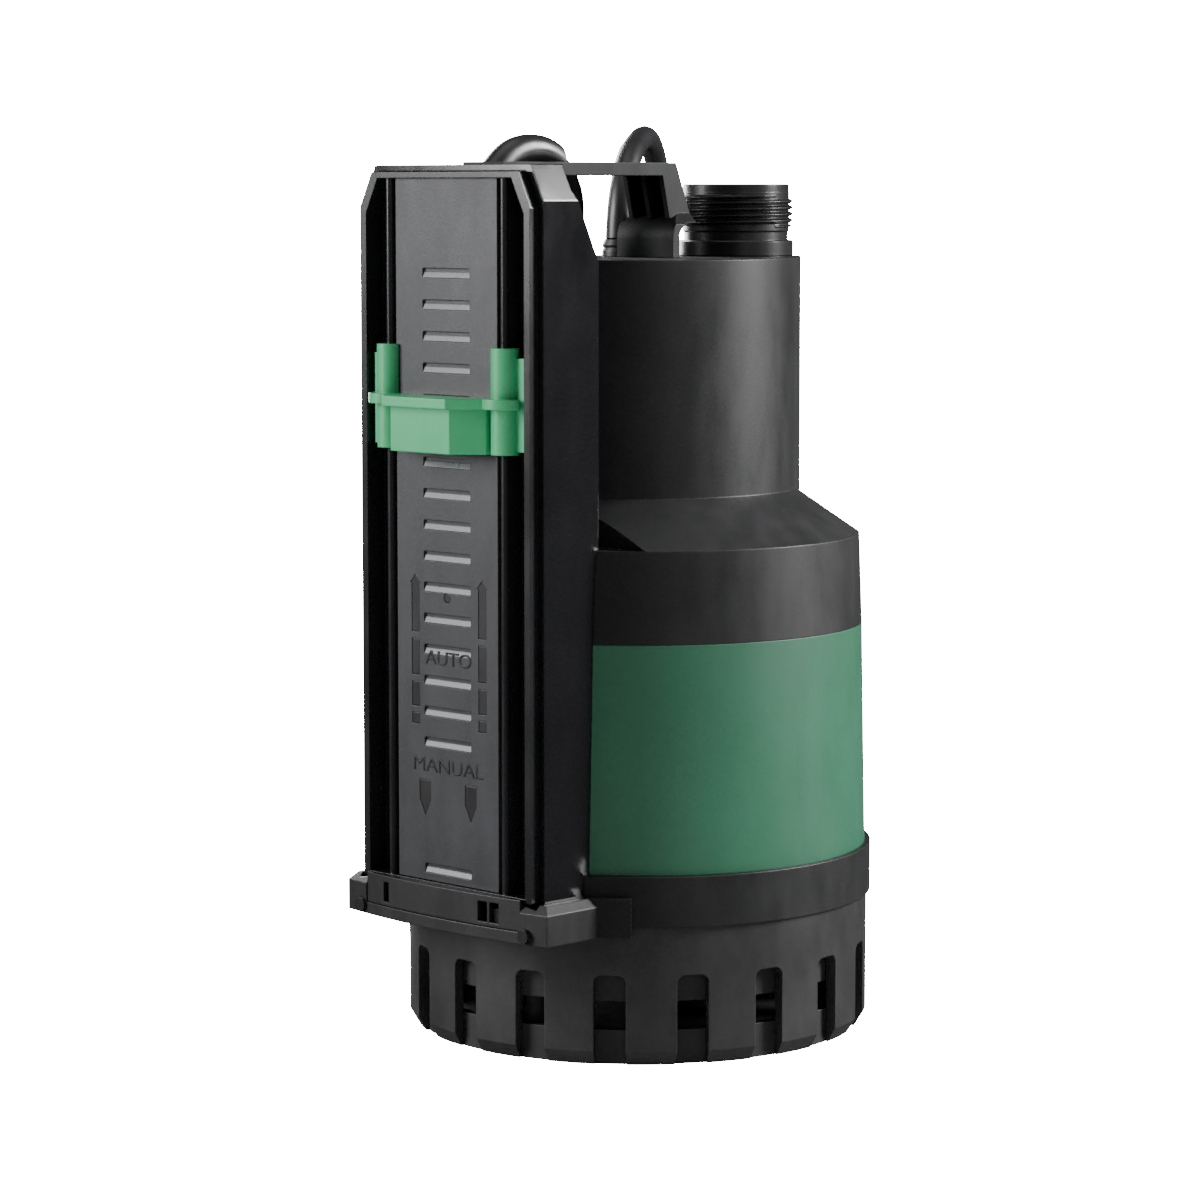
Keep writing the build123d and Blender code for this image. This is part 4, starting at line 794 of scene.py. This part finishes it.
# ---------------------------------------------------------------- outlet
@dataclass
class Outlet:
    """The threaded outlet with a real cut thread."""

    centre_y: float = 51.0
    bore: float = 16.0
    neck: float = 19.0
    collar: float = 21.0
    collar_rise: float = 5.8
    gap_rise: float = 3.5
    root: float = 19.48
    crest: float = 20.95
    lead: float = 19.4
    lead_rise: float = 3.0
    pitch: float = 2.309
    turns: int = 6
    steps_per_turn: int = 72
    fade_steps: int = 14
    sunk: float = 0.3
    collar_edge: float = 0.4
    edge: float = 0.5
    bore_edge: float = 0.6
    crest_share: tuple[float, float, float, float] = (0.06, 0.42, 0.58, 0.94)

    def build(self, wardrobe: Wardrobe) -> None:
        """Make the outlet in place of the frame's ringed one.

        Args:
            wardrobe: The finishes.
        """
        low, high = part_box("threaded_outlet")
        seat = low.z / MM
        top = high.z / MM
        foot = top - self.lead_rise - self.turns * self.pitch
        shoulder = foot - self.gap_rise
        shape = bmesh.new()
        place = Matrix.Translation((0, self.centre_y * MM, 0))
        lathe(shape, [
            (self.bore, seat), (self.neck, seat), (self.neck, shoulder - self.collar_rise),
            (self.collar - self.collar_edge, shoulder - self.collar_rise),
            (self.collar, shoulder - self.collar_rise + self.collar_edge),
            (self.collar, shoulder - self.edge), (self.collar - self.edge, shoulder),
            (self.neck, shoulder), (self.neck, foot - self.bore_edge), (self.root, foot),
            (self.root, top - self.lead_rise), (self.lead, top - self.lead_rise),
            (self.lead, top - self.edge), (self.lead - self.edge, top),
            (self.bore + self.bore_edge, top), (self.bore, top - self.bore_edge),
            (self.bore, seat),
        ], place)
        self.cut_thread(shape, foot, place)
        piece = finished("outlet_spigot", shape)
        crease_smooth(piece, 25.0)
        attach(piece, "root")
        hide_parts("threaded_outlet")
        wardrobe.dress(piece, Look.OUTLET)
        log.info("outlet: %d turns of thread", self.turns)

    def cut_thread(self, shape: bmesh.types.BMesh, foot: float, place: Matrix) -> None:
        """Wind the thread's ridge round the spigot.

        Args:
            shape: The mesh that gets the ridge.
            foot: The height of the thread's lower end.
            place: Where the spigot's axis stands.
        """
        known = set(shape.verts)
        under = self.root - self.sunk
        low, rise, fall, high = (foot + share * self.pitch for share in self.crest_share)
        corners = [
            (under, low), (self.root, low), (self.crest, rise), (self.crest, fall),
            (self.root, high), (under, high),
        ]
        ring = [shape.verts.new((r * MM, 0, z * MM)) for r, z in corners]
        end = shape.faces.new(ring)
        steps = (self.turns - 1) * self.steps_per_turn
        bmesh.ops.spin(
            shape, geom=[end, *end.edges, *ring], cent=(0, 0, 0), axis=(0, 0, 1),
            dvec=(0, 0, self.pitch * MM / self.steps_per_turn),
            angle=math.tau * (self.turns - 1), steps=steps,
        )
        made = [v for v in shape.verts if v not in known]
        for vert in made:
            wound = (vert.co.z / MM - foot) / self.pitch * self.steps_per_turn
            from_end = min(wound - self.steps_per_turn / 2, steps + self.steps_per_turn / 2 - wound)
            share = min(max(from_end / self.fade_steps, 0.0), 1.0)
            radius = math.hypot(vert.co.x, vert.co.y) / MM
            wanted = under + (radius - under) * share
            vert.co.x *= wanted / radius
            vert.co.y *= wanted / radius
        bmesh.ops.transform(shape, matrix=place, verts=made)


# ---------------------------------------------------------------- level scale
@dataclass
class Lettering:
    """The two words on the level scale, in a plain face."""

    proud: float = 0.12
    fineness: int = 6
    words: tuple[tuple[str, float, float, float, float], ...] = (
        ("AUTO", -11.1, 12.0, 136.5, 141.3),
        ("MANUAL", -17.2, 17.8, 98.9, 104.0),
    )

    def build(self, wardrobe: Wardrobe) -> None:
        """Put the words on the scale panel.

        Args:
            wardrobe: The finishes.
        """
        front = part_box("scale_panel")[0].y
        for word, left, right, low, high in self.words:
            text = bpy.data.curves.new(word, "FONT")
            text.body = word
            text.resolution_u = self.fineness
            text.extrude = 1.0
            holder = bpy.data.objects.new(word, text)
            bpy.context.scene.collection.objects.link(holder)
            bpy.context.view_layer.update()
            mesh = bpy.data.meshes.new_from_object(holder)
            bpy.data.objects.remove(holder)
            xs = [v.co.x for v in mesh.vertices]
            ys = [v.co.y for v in mesh.vertices]
            wide = (right - left) * MM / (max(xs) - min(xs))
            tall = (high - low) * MM / (max(ys) - min(ys))
            deep = self.proud * MM
            mesh.transform(
                Matrix.Translation((left * MM, front, low * MM))
                @ Matrix(((wide, 0, 0, 0), (0, 0, -deep, 0), (0, tall, 0, 0), (0, 0, 0, 1)))
                @ Matrix.Translation((-min(xs), -min(ys), 0))
            )
            piece = bpy.data.objects.new(f"lettering_{word.lower()}", mesh)
            bpy.context.scene.collection.objects.link(piece)
            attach(piece, "root")
            wardrobe.dress(piece, Look.LETTER_AND_SHADE)
        log.info("lettering: %d words", len(self.words))


@dataclass
class ScaleSteps:
    """The sloping steps in the level scale's slots, coloured pale as a painted highlight of the light
    their lower lips catch.
    """

    width: float = 23.6
    height: float = 3.4
    depth: float = 0.9
    top_z: float = 271.0
    pitch: float = 10.78
    count: int = 16
    low_drop: float = 206.0
    share: float = 0.6
    slope: float = 0.8
    clearance: float = 0.12
    edge: float = 0.08

    def step(self, height: float, front: float) -> bmesh.types.BMesh:
        """Make one step, whose face slopes back from its foot to its top.

        Args:
            height: The middle of its slot, in millimetres.
            front: The panel's front face, in metres.

        Returns:
            The step's mesh.
        """
        shape = bmesh.new()
        bmesh.ops.create_cube(shape, size=1.0)
        wide = (self.width - 2 * self.clearance) * MM
        tall = self.height * self.share * MM
        foot = height - self.height / 2 + self.clearance
        deep = self.depth * MM
        bmesh.ops.scale(shape, vec=(wide, deep, tall), verts=shape.verts)
        lip = [v for v in shape.verts if v.co.y < 0 and v.co.z > 0]
        bmesh.ops.translate(shape, vec=(0, deep * self.slope, 0), verts=lip)
        middle = foot * MM + tall / 2
        bmesh.ops.translate(shape, vec=(0, front + deep / 2, middle), verts=shape.verts)
        bmesh.ops.bevel(
            shape, geom=shape.edges[:], offset=self.edge * MM, segments=2, profile=0.5,
            affect="EDGES", material=-1,
        )
        return shape

    def build(self, wardrobe: Wardrobe) -> None:
        """Put a step in every slot.

        Args:
            wardrobe: The finishes.
        """
        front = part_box("scale_panel")[0].y
        drops = [index * self.pitch for index in range(self.count)] + [self.low_drop]
        for index, drop in enumerate(drops):
            shape = self.step(self.top_z - drop, front)
            piece = finished(f"scale_step_painted_highlight_{index + 1}", shape, smooth=False)
            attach(piece, "root")
            wardrobe.dress(piece, Look.STEP_HIGHLIGHT)
        log.info("scale: %d steps", len(drops))


@dataclass
class ScaleMarks:
    """Dark sheets in the level scale's arrows, bars, pointers and dot: painted shade for their
    recesses.
    """

    centres: tuple[float, float] = (-16.1, 17.5)
    arrow: tuple[float, float, float] = (167.3, 164.1, 147.2)
    arrow_half: float = 2.8
    bar_half: float = 1.9
    bars: tuple[tuple[float, float], ...] = ((132.3, 144.8), (121.4, 129.9), (115.2, 119.1))
    pointers: tuple[float, float] = (-11.6, 11.5)
    pointer: tuple[float, float, float] = (95.9, 89.0, 83.5)
    dot: tuple[float, float] = (160.0, 1.7)
    dot_sides: int = 24
    sunk: float = 0.15
    depth: float = 0.33

    def outlines(self) -> list[list[tuple[float, float]]]:
        """Draw the marks.

        Returns:
            Each mark's outline, as across and height in millimetres.
        """
        tip, shoulder, foot = self.arrow
        top, neck, point = self.pointer
        wide, thin = self.arrow_half, self.bar_half
        marks = []
        for x in self.centres:
            marks.append([
                (x - wide, shoulder), (x - thin, shoulder), (x - thin, foot), (x + thin, foot),
                (x + thin, shoulder), (x + wide, shoulder), (x, tip),
            ])
            for low, high in self.bars:
                marks.append([(x - thin, low), (x + thin, low), (x + thin, high), (x - thin, high)])
        for x in self.pointers:
            marks.append([
                (x - wide, top), (x - wide, neck), (x, point), (x + wide, neck), (x + wide, top),
            ])
        height, radius = self.dot
        turns = [math.tau * side / self.dot_sides for side in range(self.dot_sides)]
        marks.append([(radius * math.cos(a), height + radius * math.sin(a)) for a in turns])
        return marks

    def build(self, wardrobe: Wardrobe) -> None:
        """Lay the dark sheets of painted shade into the panel's marks.

        Args:
            wardrobe: The finishes.
        """
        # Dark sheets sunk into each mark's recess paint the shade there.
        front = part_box("scale_panel")[0].y + self.sunk * MM
        shape = bmesh.new()
        for outline in self.outlines():
            face = shape.faces.new([shape.verts.new((x * MM, front, z * MM)) for x, z in outline])
            made = bmesh.ops.extrude_face_region(shape, geom=[face])
            backs = [v for v in made["geom"] if isinstance(v, bmesh.types.BMVert)]
            bmesh.ops.translate(shape, vec=(0, self.depth * MM, 0), verts=backs)
        piece = finished("scale_marks_painted_shade", shape, smooth=False)
        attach(piece, "root")
        wardrobe.dress(piece, Look.LETTER_AND_SHADE)
        log.info("scale: %d dark marks", len(self.outlines()))


def main() -> None:
    """Build the looks, from the camera and the cord to the small marks."""
    logging.basicConfig(level=logging.INFO, format="%(name)s: %(message)s")
    Studio().build()
    wardrobe = Wardrobe()
    MainsCord().build(wardrobe)
    wardrobe.dress_frame()
    Outlet().build(wardrobe)
    Lettering().build(wardrobe)
    ScaleSteps().build(wardrobe)
    ScaleMarks().build(wardrobe)


if __name__ == "__main__":
    main()
